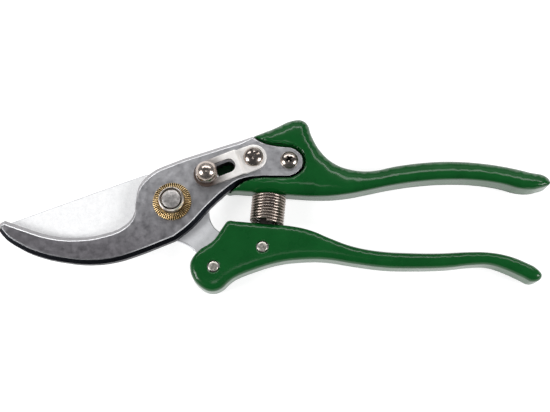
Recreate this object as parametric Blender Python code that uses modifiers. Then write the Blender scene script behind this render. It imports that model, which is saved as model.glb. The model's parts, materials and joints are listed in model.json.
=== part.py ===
"""Bypass pruning shears, lying on their back, closed and locked.

Frame: +X runs from the pivot towards the handle ends, +Z is up, away from the table.
The origin is on the pivot axis, at the table.  Sizes below are in millimetres and
become metres in one place, MM.
"""

import math

import bmesh
import bpy
from mathutils import Matrix, Vector

MM = 0.001

# Overall sizes
HOOK_REACH = 67.4            # pivot axis to the tip of the hook
HANDLE_REACH = 148.9         # pivot axis to the ends of the handles
GRIP_START = 54.1            # where both handles leave the head

# Stack along the pivot, from the table up
TOUCH = 0.3                  # gap between pieces that touch
BOLT_HEAD_HEIGHT = 2.4
BACK_WASHER_THICKNESS = 1.0
BLADE_THICKNESS = 3.0
HOOK_THICKNESS = 4.5
RIM_HEIGHT = 1.5             # handle's rim above the hook's tail
CHEEK_THICKNESS = 4.4        # lower handle above the tang
FRICTION_WASHER_THICKNESS = 0.8
TOOTHED_WASHER_HEIGHT = 1.5
NUT_HEIGHT = 3.0

# Pivot
BOLT_RADIUS = 3.55
BOLT_HEAD_RADIUS = 7.6
THREAD_CLEARANCE = 0.3
BUSH_WALL = 1.3
BUSH_CLEARANCE = 0.35
NUT_RECESS_GAP = 0.75        # ring round the bolt's end
NUT_RIM = 0.6
TOOTH_LENGTH = 2.6           # teeth that show round the nut
BACK_WASHER_MARGIN = 0.6     # beyond the bolt's head
FRICTION_WASHER_WIDTH = 3.5
DOME_HEIGHT = 0.7            # rounding on the bolt's end
BOLT_SINKS = 0.1             # bolt's end below the nut's top
BOLT_HEAD_EDGE = 0.6         # chamfer at the back of the bolt's head
NUT_EDGE = 0.3               # chamfer round the nut's top
NUT_FLOOR = 0.5              # nut below its recess
TOOTH_EDGE = 0.4             # height of the teeth at their ends

# Blades
HOOK_BEVEL = 1.6             # chamfer round the front of the hook
GRIND_WIDTH = 5.5            # hollow of the blade's sharpened back face
EDGE_LAND = 0.4              # what the grinding leaves at the cutting edge
BLADE_TIP_SHARE = 0.962      # blade's tip, as a share of the hook's reach
BLADE_TIP_Y = -7.7
GRIND_END = -13.9            # X where the grinding runs out, at the heel
GRIND_TIP_TAPER = 0.33       # its width for each mm from the tip
GRIND_HEEL_TAPER = 1.2       # its width for each mm from its end
LOBE_RADIUS = 20.5           # blade's lobe, which the lock catches
LOBE_CLEARANCE = 0.8         # lobe to the upper handle

# Handles
HANDLE_EDGE = 2.5            # rounding of the handles' edges
TAIL_CLEARANCE = 0.5         # hook's tail in the upper handle's pocket
TANG_CLEARANCE = 0.4         # blade's tang in the lower handle's slot

# Fasteners
SCREW_RADIUS = 2.0
SCREW_HOLE_CLEARANCE = 0.35
SCREW_LENGTH = 9.5           # under the head
SCREW_HEAD_HEIGHT = 2.3
PLATE_SCREW_HEAD_RADIUS = 3.95
TAIL_SCREW_HEAD_RADIUS = 3.6
CROSS_LENGTH = 4.4
CROSS_WIDTH = 1.0
CROSS_DEPTH = 1.4
CROSS_TURN = 25              # degrees the recess is turned
SCREW_POINT = 1.0            # length of the cone at the screw's end
SCREW_POINT_EDGE = 0.8
RIVET_RADIUS = 2.0
RIVET_HOLE_CLEARANCE = 0.4
RIVET_STANDS = 0.25          # rivet's end above the handle's face
RIVET_EDGE = 0.4

# Lock
LOCKED_AT = (13.5, 10.6)     # axis of the lock's knob, locked
LOCK_ANGLE = math.radians(22.0)
LOCK_TRAVEL = 9.0
PIN_RADIUS = 2.0
PIN_CLEARANCE = 0.35
PIN_EDGE = 0.3
PLATE_THICKNESS = 1.0
PLATE_RADIUS = 5.2           # round ends of the lock plate
PLATE_RISE = 1.5             # how far its slotted half stands above its pad
PLATE_SLOT_MARGIN = 0.75     # plate's slot beyond the pin
BEND_TO_SCREW = 4.9          # foot of the bend to the plate's screw
BEND_LENGTH = 1.3
SHOE_RADIUS = 4.0
SHOE_THICKNESS = 0.5
KNOB_RADIUS = 4.4
KNOB_LIFT = 1.6              # ball's centre above its flat underside
SOCKET_ABOVE_CENTRE = 0.6    # knob's socket goes this far past the ball's centre
KNOB_WASHER_RADIUS = 3.9
KNOB_WASHER_THICKNESS = 0.4

# Spring
SPRING_TOP = (37.9, 3.9)     # centre of its seat on the upper handle
SPRING_FOOT = (36.7, -8.4)   # centre of its seat on the lower handle
SPRING_RADIUS = 6.8          # outside
SPRING_WIRE = 1.1
SPRING_TURNS = 9.25
SPRING_LIFT = 1.4            # spring's axis above the middle of the lower handle
SPRING_POINTS_PER_TURN = 14
SPIGOT_CLEARANCE = 1.2       # pegs of the handles inside the spring
SPIGOT_LENGTH = 3.6
SPIGOT_ROOT = 1.6            # peg's foot inside the handle
SPIGOT_TAPER = 0.6
SEAT_MARGIN = 0.35           # spring's end to its seat, beyond the touching gap

# Where the fasteners stand
PLATE_SCREW_AT = (31.6, 17.9)
TAIL_SCREW_AT = (45.7, 16.9)
RIVETS_AT = {"rivet_front": (16.4, -25.5), "rivet_rear": (35.2, -17.8)}

# Heights that follow from the stack
BLADE_BOTTOM = BOLT_HEAD_HEIGHT + TOUCH + BACK_WASHER_THICKNESS + TOUCH
BLADE_TOP = BLADE_BOTTOM + BLADE_THICKNESS
HOOK_BOTTOM = BLADE_TOP + TOUCH
HOOK_TOP = HOOK_BOTTOM + HOOK_THICKNESS
UPPER_HANDLE_TOP = HOOK_TOP + RIM_HEIGHT
LOWER_HANDLE_TOP = BLADE_TOP + CHEEK_THICKNESS
PLATE_BOTTOM = HOOK_TOP + TOUCH
PLATE_TOP = PLATE_BOTTOM + PLATE_THICKNESS + PLATE_RISE
BORE_RADIUS = BOLT_RADIUS + THREAD_CLEARANCE + BUSH_WALL + BUSH_CLEARANCE
FRICTION_WASHER_RADIUS = BORE_RADIUS + FRICTION_WASHER_WIDTH
NUT_RECESS_RADIUS = BOLT_RADIUS + NUT_RECESS_GAP
NUT_RADIUS = NUT_RECESS_RADIUS + NUT_RIM
TOOTHED_WASHER_RADIUS = NUT_RADIUS + TOOTH_LENGTH
BACK_WASHER_RADIUS = BOLT_HEAD_RADIUS + BACK_WASHER_MARGIN
PLATE_SLOT_RADIUS = PIN_RADIUS + PLATE_SLOT_MARGIN
SPIGOT_RADIUS = SPRING_RADIUS - SPRING_WIRE - SPIGOT_CLEARANCE
SPRING_HEIGHT = LOWER_HANDLE_TOP / 2 + SPRING_LIFT

SMOOTH, CORNER = "AUTO", "VECTOR"


def along_hook(share):
    """X of a point that lies a share of the way from the pivot to the hook's tip."""
    return -share * HOOK_REACH


def along_grip(share):
    """X of a point that lies a share of the way along the handles' grips."""
    return GRIP_START + share * (HANDLE_REACH - GRIP_START)


def smooth(*points):
    return [(x, y, SMOOTH) for x, y in points]


def corner(*points):
    return [(x, y, CORNER) for x, y in points]


def arc(radius, start, end, count):
    """Points on an arc about the pivot, from angle start to angle end, in degrees."""
    angles = [math.radians(start + (end - start) * i / (count - 1)) for i in range(count)]
    return [(radius * math.cos(a), radius * math.sin(a)) for a in angles]


def ray(point, angle, distance):
    """The point a distance away from another, at an angle."""
    return point[0] + distance * math.cos(angle), point[1] + distance * math.sin(angle)


# ---------------------------------------------------------------- outlines

def hook_outline():
    """Counter blade: belly, heel, tail in the handle, upper edge, inner edge."""
    belly = [(-1.0, -9.1), (-0.975, -13.0), (-0.875, -17.9), (-0.755, -21.4), (-0.59, -23.8),
             (-0.46, -24.5), (-0.32, -23.5)]
    inner = [(-0.2255, -5.6), (-0.275, -9.3), (-0.38, -12.4), (-0.54, -14.1), (-0.69, -13.3),
             (-0.84, -10.3)]
    return (
        smooth(*[(along_hook(-s), y) for s, y in belly])
        + smooth((-12.3, -20.6), (-3.4, -17.0))
        + corner((1.4, -15.0))
        + smooth((7.7, -9.9), (14.7, -2.1), (22.7, 5.3), (28.1, 8.7), (33.4, 10.1))
        + smooth((41.1, 10.2), (48.0, 11.0), (51.5, 16.2), (48.3, 21.7), (42.1, 22.9), (36.1, 24.1))
        + corner((31.1, 26.9))
        + smooth((14.1, 21.4), (-1.6, 15.8), (-9.1, 11.9))
        + smooth((-13.3, 6.5), (-14.3, -0.2))
        + smooth(*[(along_hook(-s), y) for s, y in inner])
        + corner((along_hook(0.965), -7.3))
    )


def blade_outline():
    """Cutting blade: edge from the tip to the heel, tang, lobe, straight back."""
    edge = [(-0.9, -12.7), (-0.75, -16.1), (-0.56, -17.4), (-0.38, -16.0), (-0.26, -12.1)]
    return (
        corner((along_hook(BLADE_TIP_SHARE), BLADE_TIP_Y))
        + smooth(*[(along_hook(-s), y) for s, y in edge])
        + corner((-14.5, -8.3))
        + smooth((-8.9, -12.1), (1.4, -14.3))
        + smooth((7.0, -16.8), (9.7, -20.3), (11.3, -26.1), (15.3, -30.1), (21.1, -28.5))
        + smooth((30.1, -24.1), (38.1, -21.6), (40.3, -17.1), (35.7, -13.1), (25.6, -12.9))
        + smooth((17.9, -10.6), (14.7, -6.3))
        + corner((14.1, -1.3))
        + smooth((17.3, 1.6))
        + smooth(*arc(LOBE_RADIUS, 12, 56, 5))
        + smooth((3.1, 16.7), (-4.9, 13.3))
        + corner((-11.5, 12.3))
    )


def upper_handle_outline():
    """Handle with the hook's tail: top edge, end, lower edge, mouth round the lobe."""
    top = [(0.0, 29.7), (0.012, 26.6), (0.05, 20.6), (0.103, 16.2), (0.165, 13.9), (0.25, 13.2),
           (0.36, 15.2), (0.47, 16.6), (0.58, 17.1), (0.7, 16.5), (0.82, 14.8), (0.92, 12.5),
           (0.985, 10.7)]
    bottom = [(0.997, 8.3), (0.955, 5.9), (0.89, 5.2), (0.79, 7.5), (0.7, 8.8), (0.58, 9.2),
              (0.45, 8.4), (0.33, 6.7), (0.24, 4.9), (0.16, 3.4), (0.07, 2.6)]
    mouth = arc(LOBE_RADIUS + LOBE_CLEARANCE, 14, 50, 6)
    return (
        corner((30.9, 27.3))
        + smooth((39.6, 30.8), (47.9, 34.4), (51.7, 34.0), (53.5, 31.9))
        + smooth(*[(along_grip(s), y) for s, y in top])
        + smooth(*[(along_grip(s), y) for s, y in bottom])
        + smooth((43.6, 3.4), (32.1, 4.4))
        + corner((24.3, 4.9))
        + smooth(*mouth)
        + smooth((23.6, 23.3))
    )


def lower_handle_outline():
    """Handle with the blade's tang: top edge, end, lower edge, round heel, front."""
    top = [(0.0, -10.9), (0.08, -14.1), (0.165, -17.1), (0.27, -19.1), (0.4, -19.9), (0.53, -20.0),
           (0.64, -19.5), (0.72, -19.6), (0.8, -20.9), (0.875, -23.7), (0.92, -26.3)]
    bottom = [(0.935, -29.1), (0.9, -31.2), (0.86, -29.6), (0.8, -26.9), (0.73, -24.7),
              (0.66, -24.6), (0.56, -25.6), (0.42, -26.0), (0.3, -25.7), (0.17, -24.1), (0.06, -22.5)]
    return (
        smooth((21.7, -7.1), (24.6, -7.2), (32.1, -7.9), (46.1, -9.1))
        + smooth(*[(along_grip(s), y) for s, y in top])
        + smooth(*[(along_grip(s), y) for s, y in bottom])
        + smooth((49.1, -22.6), (42.1, -23.5), (32.8, -26.2), (24.1, -29.9))
        + smooth((17.7, -34.7), (12.3, -33.7), (7.3, -25.5), (9.4, -20.0))
        + smooth((16.1, -14.9), (20.0, -9.1))
    )


def stadium(start, angle, length, radius, count=9):
    """A straight slot's outline: two half circles about start and start + length."""
    end = ray(start, angle, length)
    points = []
    for centre, turn in ((end, -math.pi / 2), (start, math.pi / 2)):
        for i in range(count):
            points.append(ray(centre, angle + turn + math.pi * i / (count - 1), radius))
    return corner(*points)


# ---------------------------------------------------------------- tools

def collection(name):
    group = bpy.data.collections.new(name)
    bpy.context.scene.collection.children.link(group)
    return group


def material(name, colour, metallic, roughness):
    surface = bpy.data.materials.new(name)
    surface.use_nodes = True
    shader = surface.node_tree.nodes["Principled BSDF"]
    shader.inputs["Base Color"].default_value = (*colour, 1.0)
    shader.inputs["Metallic"].default_value = metallic
    shader.inputs["Roughness"].default_value = roughness
    return surface


def add_object(name, mesh, group, surface=None):
    thing = bpy.data.objects.new(name, mesh)
    group.objects.link(thing)
    if surface is not None:
        mesh.materials.clear()
        mesh.materials.append(surface)
    return thing


def filled_outline(points, bottom, top, grow, rounding, resolution):
    """A 2D curve filled on both sides and extruded from bottom to top, with round rims."""
    curve = bpy.data.curves.new("outline", "CURVE")
    curve.dimensions = "2D"
    curve.fill_mode = "BOTH"
    curve.extrude = ((top - bottom) / 2 - rounding) * MM
    curve.bevel_depth = rounding * MM
    curve.bevel_resolution = 2
    curve.offset = (grow - rounding) * MM
    curve.resolution_u = resolution
    spline = curve.splines.new("BEZIER")
    spline.bezier_points.add(len(points) - 1)
    spline.use_cyclic_u = True
    for knot, (x, y, kind) in zip(spline.bezier_points, points):
        knot.co = (x * MM, y * MM, 0)
        knot.handle_left_type = kind
        knot.handle_right_type = kind
    return curve


def slab(name, points, bottom, top, group, surface=None, grow=0.0, rounding=0.0, resolution=3):
    """A flat solid between two heights, whose caps are single faces."""
    curve = filled_outline(points, bottom, top, grow, rounding, resolution)
    draft = bpy.data.objects.new("draft", curve)
    group.objects.link(draft)
    draft.location.z = (bottom + top) / 2 * MM
    bpy.context.view_layer.update()
    evaluated = draft.evaluated_get(bpy.context.evaluated_depsgraph_get())
    mesh = bpy.data.meshes.new_from_object(evaluated)
    mesh.name = name
    mesh.transform(draft.matrix_world)
    bpy.data.objects.remove(draft)
    bpy.data.curves.remove(curve)
    shape = bmesh.new()
    shape.from_mesh(mesh)
    bmesh.ops.remove_doubles(shape, verts=shape.verts, dist=1e-6)
    bmesh.ops.dissolve_limit(shape, angle_limit=0.002, verts=shape.verts, edges=shape.edges)
    bmesh.ops.recalc_face_normals(shape, faces=shape.faces)
    shape.to_mesh(mesh)
    shape.free()
    return add_object(name, mesh, group, surface)


def edges_at(shape, height):
    """Edges that lie flat at a height."""
    return [e for e in shape.edges if all(abs(v.co.z - height * MM) < 1e-6 for v in e.verts)]


def chamfer_rim(thing, height, width):
    """Chamfer the rim of a flat solid at a height."""
    shape = bmesh.new()
    shape.from_mesh(thing.data)
    bmesh.ops.bevel(shape, geom=edges_at(shape, height), offset=width * MM, segments=1,
                    profile=0.5, affect="EDGES", clamp_overlap=False)
    shape.to_mesh(thing.data)
    shape.free()


def turned(name, profile, group, surface=None, at=(0.0, 0.0), steps=32):
    """A solid turned about a vertical axis from (radius, height) points, outside first, top down."""
    mesh = bpy.data.meshes.new(name)
    points = [(r * MM, 0.0, z * MM) for r, z in profile]
    closed = profile[0][0] > 0 and profile[-1][0] > 0
    edges = [(i, i + 1) for i in range(len(points) - 1)]
    if closed:
        edges.append((len(points) - 1, 0))
    mesh.from_pydata(points, edges, [])
    thing = add_object(name, mesh, group, surface)
    thing.location = (at[0] * MM, at[1] * MM, 0.0)
    screw = thing.modifiers.new("turn", "SCREW")
    screw.axis = "Z"
    screw.steps = steps
    screw.render_steps = steps
    screw.use_merge_vertices = True
    screw.merge_threshold = 1e-5
    screw.use_smooth_shade = True
    return thing


def cylinder(name, radius, bottom, top, group, at=(0.0, 0.0), sides=32):
    """A plain upright cylinder."""
    mesh = bpy.data.meshes.new(name)
    shape = bmesh.new()
    place = Matrix.Translation((at[0] * MM, at[1] * MM, (bottom + top) / 2 * MM))
    bmesh.ops.create_cone(shape, cap_ends=True, segments=sides, radius1=radius * MM,
                          radius2=radius * MM, depth=(top - bottom) * MM, matrix=place)
    shape.to_mesh(mesh)
    shape.free()
    return add_object(name, mesh, group)


def cut(thing, cutter, operation="DIFFERENCE"):
    """Boolean a cutter, which stays in the file as a wire, into a piece."""
    cutter.display_type = "WIRE"
    cutter.hide_render = True
    boolean = thing.modifiers.new(cutter.name, "BOOLEAN")
    boolean.operation = operation
    boolean.object = cutter
    boolean.solver = "EXACT"


def shade(thing, angle=35):
    thing.data.shade_smooth()
    thing.data.set_sharp_from_angle(angle=math.radians(angle))


# ---------------------------------------------------------------- blades

def make_hook(parts, cutters, steel):
    hook = slab("hook_blade", hook_outline(), HOOK_BOTTOM, HOOK_TOP, parts, steel)
    chamfer_rim(hook, HOOK_TOP, HOOK_BEVEL)
    shade(hook, 20)
    low, high = HOOK_BOTTOM - 1, HOOK_TOP + 1
    cut(hook, cylinder("hook_bore", BORE_RADIUS, low, high, cutters, sides=48))
    recess = HOOK_BOTTOM + FRICTION_WASHER_THICKNESS + TOUCH
    cut(hook, cylinder("hook_recess", FRICTION_WASHER_RADIUS + TOUCH, low, recess, cutters, sides=48))
    for name, place in (("hook_plate_hole", PLATE_SCREW_AT), ("hook_tail_hole", TAIL_SCREW_AT)):
        cut(hook, cylinder(name, SCREW_RADIUS + SCREW_HOLE_CLEARANCE, low, high, cutters, place, 24))
    slot = stadium(LOCKED_AT, LOCK_ANGLE, LOCK_TRAVEL, PIN_RADIUS + PIN_CLEARANCE)
    cut(hook, slab("hook_slot", slot, low, high, cutters, resolution=1))


def grind(blade):
    """Slope the blade's back face down to the cutting edge, along the edge only."""
    shape = bmesh.new()
    shape.from_mesh(blade.data)
    land = Vector((0, 0, (BLADE_TOP - EDGE_LAND) * MM))
    bmesh.ops.bisect_plane(shape, geom=shape.verts[:] + shape.edges[:] + shape.faces[:],
                           plane_co=land, plane_no=(0, 0, 1))
    floor = max((f for f in shape.faces if f.normal.z < -0.9), key=lambda f: f.calc_area())
    corners = [loop.vert for loop in floor.loops]
    heel_x = GRIND_END * MM
    tip = Vector((along_hook(BLADE_TIP_SHARE), BLADE_TIP_Y)) * MM
    moves = {}
    for i, vert in enumerate(corners):
        before, after = corners[i - 1].co.xy, corners[(i + 1) % len(corners)].co.xy
        run = (after - before).normalized()
        inward = Vector((run.y, -run.x))
        on_edge = inward.y > 0.2 and vert.co.x < heel_x
        if on_edge:
            from_tip = (vert.co.xy - tip).length
            reach = min(GRIND_WIDTH * MM, GRIND_TIP_TAPER * from_tip,
                        GRIND_HEEL_TAPER * (heel_x - vert.co.x))
            moves[vert] = inward * reach
    for vert, step in moves.items():
        vert.co.xy += step
    shape.to_mesh(blade.data)
    shape.free()


def make_blade(parts, cutters, steel):
    blade = slab("cutting_blade", blade_outline(), BLADE_BOTTOM, BLADE_TOP, parts, steel)
    grind(blade)
    shade(blade, 12)
    low, high = BLADE_BOTTOM - 1, BLADE_TOP + 1
    cut(blade, cylinder("blade_bore", BORE_RADIUS, low, high, cutters, sides=48))
    for name, place in RIVETS_AT.items():
        radius = RIVET_RADIUS + RIVET_HOLE_CLEARANCE
        cut(blade, cylinder("blade_" + name, radius, low, high, cutters, place, 24))
    notch = stadium(LOCKED_AT, LOCK_ANGLE, LOCK_TRAVEL, PIN_RADIUS + 2 * PIN_CLEARANCE)
    cut(blade, slab("blade_notch", notch, low, high, cutters, resolution=1))
    return blade


# ---------------------------------------------------------------- handles

def spigot(name, seat, towards, cutters):
    """Peg inside the spring's end, rooted in the handle behind its seat."""
    axis = Vector((towards[0] - seat[0], towards[1] - seat[1], 0)).normalized()
    length = SPIGOT_LENGTH + SPIGOT_ROOT
    centre = Vector((*seat, SPRING_HEIGHT)) + axis * (length / 2 - SPIGOT_ROOT)
    mesh = bpy.data.meshes.new(name)
    shape = bmesh.new()
    bmesh.ops.create_cone(shape, cap_ends=True, segments=24, radius1=SPIGOT_RADIUS * MM,
                          radius2=(SPIGOT_RADIUS - SPIGOT_TAPER) * MM, depth=length * MM)
    shape.to_mesh(mesh)
    shape.free()
    peg = add_object(name, mesh, cutters)
    peg.location = centre * MM
    peg.rotation_euler = Vector((0, 0, 1)).rotation_difference(axis).to_euler()
    return peg


def make_upper_handle(parts, cutters, paint):
    handle = slab("upper_handle", upper_handle_outline(), 0, UPPER_HANDLE_TOP, parts, paint,
                  rounding=HANDLE_EDGE)
    shade(handle)
    cut(handle, spigot("upper_spigot", SPRING_TOP, SPRING_FOOT, cutters), "UNION")
    pocket = slab("tail_pocket", hook_outline(), HOOK_BOTTOM - TOUCH, UPPER_HANDLE_TOP + 1, cutters,
                  grow=TAIL_CLEARANCE)
    cut(handle, pocket)
    plate_seat = PLATE_BOTTOM + PLATE_THICKNESS + TOUCH
    for name, place, seat in (("plate_screw_hole", PLATE_SCREW_AT, plate_seat),
                              ("tail_screw_hole", TAIL_SCREW_AT, PLATE_BOTTOM)):
        radius = SCREW_RADIUS + SCREW_HOLE_CLEARANCE
        foot = seat - SCREW_LENGTH - 1
        cut(handle, cylinder(name, radius, foot, HOOK_BOTTOM, cutters, place, 24))
    cut(handle, cylinder("plate_relief", PLATE_RADIUS + TAIL_CLEARANCE, PLATE_BOTTOM - TOUCH,
                         UPPER_HANDLE_TOP + 1, cutters, PLATE_SCREW_AT, 48))


def make_lower_handle(parts, cutters, paint):
    handle = slab("lower_handle", lower_handle_outline(), 0, LOWER_HANDLE_TOP, parts, paint,
                  rounding=HANDLE_EDGE)
    shade(handle)
    cut(handle, spigot("lower_spigot", SPRING_FOOT, SPRING_TOP, cutters), "UNION")
    cut(handle, slab("tang_slot", blade_outline(), BLADE_BOTTOM - TOUCH, BLADE_TOP + TOUCH, cutters,
                     grow=TANG_CLEARANCE))
    for name, place in RIVETS_AT.items():
        radius = RIVET_RADIUS + RIVET_HOLE_CLEARANCE
        cut(handle, cylinder("handle_" + name, radius, -1, LOWER_HANDLE_TOP + 1, cutters, place, 24))
    return handle


# ---------------------------------------------------------------- pivot

def make_pivot(parts, steel, nickel, zinc, bronze):
    nut_bottom = HOOK_TOP + TOUCH + TOOTHED_WASHER_HEIGHT + TOUCH
    nut_top = nut_bottom + NUT_HEIGHT
    bolt_end = nut_top - BOLT_SINKS
    rim = BOLT_RADIUS - DOME_HEIGHT
    turned("pivot_bolt", [(0, bolt_end), (rim, bolt_end - 0.2 * DOME_HEIGHT),
                          (BOLT_RADIUS, bolt_end - DOME_HEIGHT),
                          (BOLT_RADIUS, BOLT_HEAD_HEIGHT), (BOLT_HEAD_RADIUS, BOLT_HEAD_HEIGHT),
                          (BOLT_HEAD_RADIUS, BOLT_HEAD_EDGE),
                          (BOLT_HEAD_RADIUS - BOLT_HEAD_EDGE, 0), (0, 0)],
           parts, steel)
    bore = BOLT_RADIUS + THREAD_CLEARANCE
    washer_foot = BOLT_HEAD_HEIGHT + TOUCH
    washer_top = washer_foot + BACK_WASHER_THICKNESS
    turned("back_washer", [(BACK_WASHER_RADIUS, washer_top), (BACK_WASHER_RADIUS, washer_foot),
                           (bore, washer_foot), (bore, washer_top)], parts, steel)
    friction_top = HOOK_BOTTOM + FRICTION_WASHER_THICKNESS
    turned("friction_washer", [(FRICTION_WASHER_RADIUS, friction_top),
                               (FRICTION_WASHER_RADIUS, HOOK_BOTTOM),
                               (BORE_RADIUS, HOOK_BOTTOM), (BORE_RADIUS, friction_top)],
           parts, bronze)
    turned("pivot_bush", [(bore + BUSH_WALL, HOOK_TOP), (bore + BUSH_WALL, BLADE_BOTTOM),
                          (bore, BLADE_BOTTOM), (bore, HOOK_TOP)], parts, bronze)
    foot = HOOK_TOP + TOUCH
    top = foot + TOOTHED_WASHER_HEIGHT
    turned("toothed_washer", [(NUT_RADIUS, top), (TOOTHED_WASHER_RADIUS, foot + TOOTH_EDGE),
                              (TOOTHED_WASHER_RADIUS, foot), (bore, foot), (bore, top)],
           parts, zinc, steps=48)
    turned("pivot_nut", [(NUT_RADIUS - 0.7 * NUT_EDGE, nut_top), (NUT_RADIUS, nut_top - NUT_EDGE),
                         (NUT_RADIUS, nut_bottom), (bore, nut_bottom), (bore, nut_bottom + NUT_FLOOR),
                         (NUT_RECESS_RADIUS, nut_bottom + NUT_FLOOR), (NUT_RECESS_RADIUS, nut_top)],
           parts, nickel)


# ---------------------------------------------------------------- fasteners

def make_screw(name, place, seat, head_radius, parts, cutters, nickel):
    """Domed cross-head screw whose head rests on a seat."""
    top = seat + SCREW_HEAD_HEIGHT
    dome = [(head_radius * math.sin(a), top - 0.55 * head_radius * (1 - math.cos(a)))
            for a in (0, math.radians(25), math.radians(50), math.radians(75), math.radians(90))]
    end = seat - SCREW_LENGTH
    screw = turned(name, dome + [(head_radius, seat), (SCREW_RADIUS, seat),
                                 (SCREW_RADIUS, end + SCREW_POINT),
                                 (SCREW_RADIUS - SCREW_POINT_EDGE, end), (0, end)],
                   parts, nickel, place)
    for turn in (0, 90):
        mesh = bpy.data.meshes.new(name + "_cross")
        shape = bmesh.new()
        size = Vector((CROSS_LENGTH, CROSS_WIDTH, 2 * CROSS_DEPTH)) * MM
        bmesh.ops.create_cube(shape, size=1, matrix=Matrix.Diagonal((*size, 1)))
        shape.to_mesh(mesh)
        shape.free()
        blade = add_object(f"{name}_cross_{turn}", mesh, cutters)
        blade.location = Vector((*place, top)) * MM
        blade.rotation_euler.z = math.radians(turn + CROSS_TURN)
        cut(screw, blade)


def make_rivets(parts, steel):
    top = LOWER_HANDLE_TOP + RIVET_STANDS
    return [turned(name, [(0, top), (RIVET_RADIUS - RIVET_EDGE, top), (RIVET_RADIUS, top - RIVET_EDGE),
                          (RIVET_RADIUS, RIVET_EDGE), (RIVET_RADIUS - RIVET_EDGE, 0), (0, 0)],
                   parts, steel, place, 24)
            for name, place in RIVETS_AT.items()]


# ---------------------------------------------------------------- lock

def make_lock_plate(parts, cutters, nickel):
    """Strip under one screw, bent up so that its slotted half clears the hook."""
    length = math.dist(LOCKED_AT, PLATE_SCREW_AT)
    angle = math.atan2(PLATE_SCREW_AT[1] - LOCKED_AT[1], PLATE_SCREW_AT[0] - LOCKED_AT[0])
    top = PLATE_BOTTOM + PLATE_THICKNESS
    plate = slab("lock_plate", stadium(LOCKED_AT, angle, length, PLATE_RADIUS), PLATE_BOTTOM, top,
                 parts, nickel, resolution=1)
    along = Vector((math.cos(angle), math.sin(angle), 0))
    foot = Vector((*ray(PLATE_SCREW_AT, angle, -BEND_TO_SCREW), 0)) * MM
    head = foot - along * BEND_LENGTH * MM
    shape = bmesh.new()
    shape.from_mesh(plate.data)
    for line in (foot, head):
        bmesh.ops.bisect_plane(shape, geom=shape.verts[:] + shape.edges[:] + shape.faces[:],
                               plane_co=line, plane_no=along)
    for vert in shape.verts:
        past = (foot - vert.co).dot(along) / (BEND_LENGTH * MM)
        vert.co.z += PLATE_RISE * MM * min(max(past, 0.0), 1.0)
    shape.to_mesh(plate.data)
    shape.free()
    shade(plate, 20)
    low, high = PLATE_BOTTOM - 1, PLATE_TOP + 1
    hole = SCREW_RADIUS + SCREW_HOLE_CLEARANCE
    cut(plate, cylinder("plate_hole", hole, low, high, cutters, PLATE_SCREW_AT, 24))
    slot = stadium(LOCKED_AT, LOCK_ANGLE, LOCK_TRAVEL, PLATE_SLOT_RADIUS)
    cut(plate, slab("plate_slot", slot, low, high, cutters, resolution=1))


def make_lock_slider(parts, nickel, steel, bronze):
    """Ball knob, washer, pin and shoe that slide together along the plate's slot."""
    washer_top = PLATE_TOP - PLATE_THICKNESS - TOUCH
    washer_foot = washer_top - KNOB_WASHER_THICKNESS
    knob_foot = PLATE_TOP + TOUCH
    centre = knob_foot + KNOB_LIFT
    socket = PIN_RADIUS + PIN_CLEARANCE
    socket_top = centre + SOCKET_ABOVE_CENTRE
    pin_bottom = HOOK_BOTTOM
    start = math.acos(-KNOB_LIFT / KNOB_RADIUS)
    ball = [(KNOB_RADIUS * math.sin(start * i / 10), centre + KNOB_RADIUS * math.cos(start * i / 10))
            for i in range(11)]
    knob = turned("lock_knob", ball + [(socket, knob_foot), (socket, socket_top), (0, socket_top)],
                  parts, nickel, LOCKED_AT)
    washer = turned("knob_washer", [(KNOB_WASHER_RADIUS, washer_top), (KNOB_WASHER_RADIUS, washer_foot),
                                    (socket, washer_foot), (socket, washer_top)],
                    parts, bronze, LOCKED_AT)
    pin = turned("lock_pin", [(0, socket_top - TOUCH), (PIN_RADIUS, socket_top - TOUCH),
                              (PIN_RADIUS, pin_bottom + PIN_EDGE), (PIN_RADIUS - PIN_EDGE, pin_bottom),
                              (0, pin_bottom)], parts, steel, LOCKED_AT, 24)
    shoe_top = washer_foot - TOUCH
    shoe = turned("lock_shoe", [(SHOE_RADIUS, shoe_top), (SHOE_RADIUS, shoe_top - SHOE_THICKNESS),
                                (socket, shoe_top - SHOE_THICKNESS), (socket, shoe_top)],
                  parts, steel, LOCKED_AT)
    return [knob, washer, pin, shoe]


# ---------------------------------------------------------------- spring

def make_spring(parts, steel):
    """Compression spring between the handles, as a helix of round wire."""
    top, foot = Vector((*SPRING_TOP, SPRING_HEIGHT)), Vector((*SPRING_FOOT, SPRING_HEIGHT))
    axis = (top - foot).normalized()
    across = Vector((0, 0, 1))
    side = axis.cross(across)
    radius = SPRING_RADIUS - SPRING_WIRE / 2
    seat_gap = SPRING_WIRE / 2 + TOUCH + SEAT_MARGIN
    start, end = foot + axis * seat_gap, top - axis * seat_gap
    count = int(SPRING_TURNS * SPRING_POINTS_PER_TURN)
    curve = bpy.data.curves.new("return_spring", "CURVE")
    curve.dimensions = "3D"
    curve.bevel_depth = SPRING_WIRE / 2 * MM
    curve.bevel_resolution = 2
    curve.use_fill_caps = True
    spline = curve.splines.new("POLY")
    spline.points.add(count)
    for i in range(count + 1):
        turn = 2 * math.pi * SPRING_TURNS * i / count
        centre = start.lerp(end, i / count)
        point = centre + radius * (math.cos(turn) * across + math.sin(turn) * side)
        spline.points[i].co = (*(point * MM), 1.0)
    curve.materials.append(steel)
    spring = bpy.data.objects.new("return_spring", curve)
    parts.objects.link(spring)


def attach(name, place, pieces):
    """Parent pieces to an empty on their joint's axis, leaving them where they are."""
    empty = bpy.data.objects.new(name, None)
    bpy.context.scene.collection.objects.link(empty)
    empty.location = Vector((*place, 0)) * MM
    bpy.context.view_layer.update()
    for piece in pieces:
        piece.parent = empty
        piece.matrix_parent_inverse = empty.matrix_world.inverted()


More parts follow.
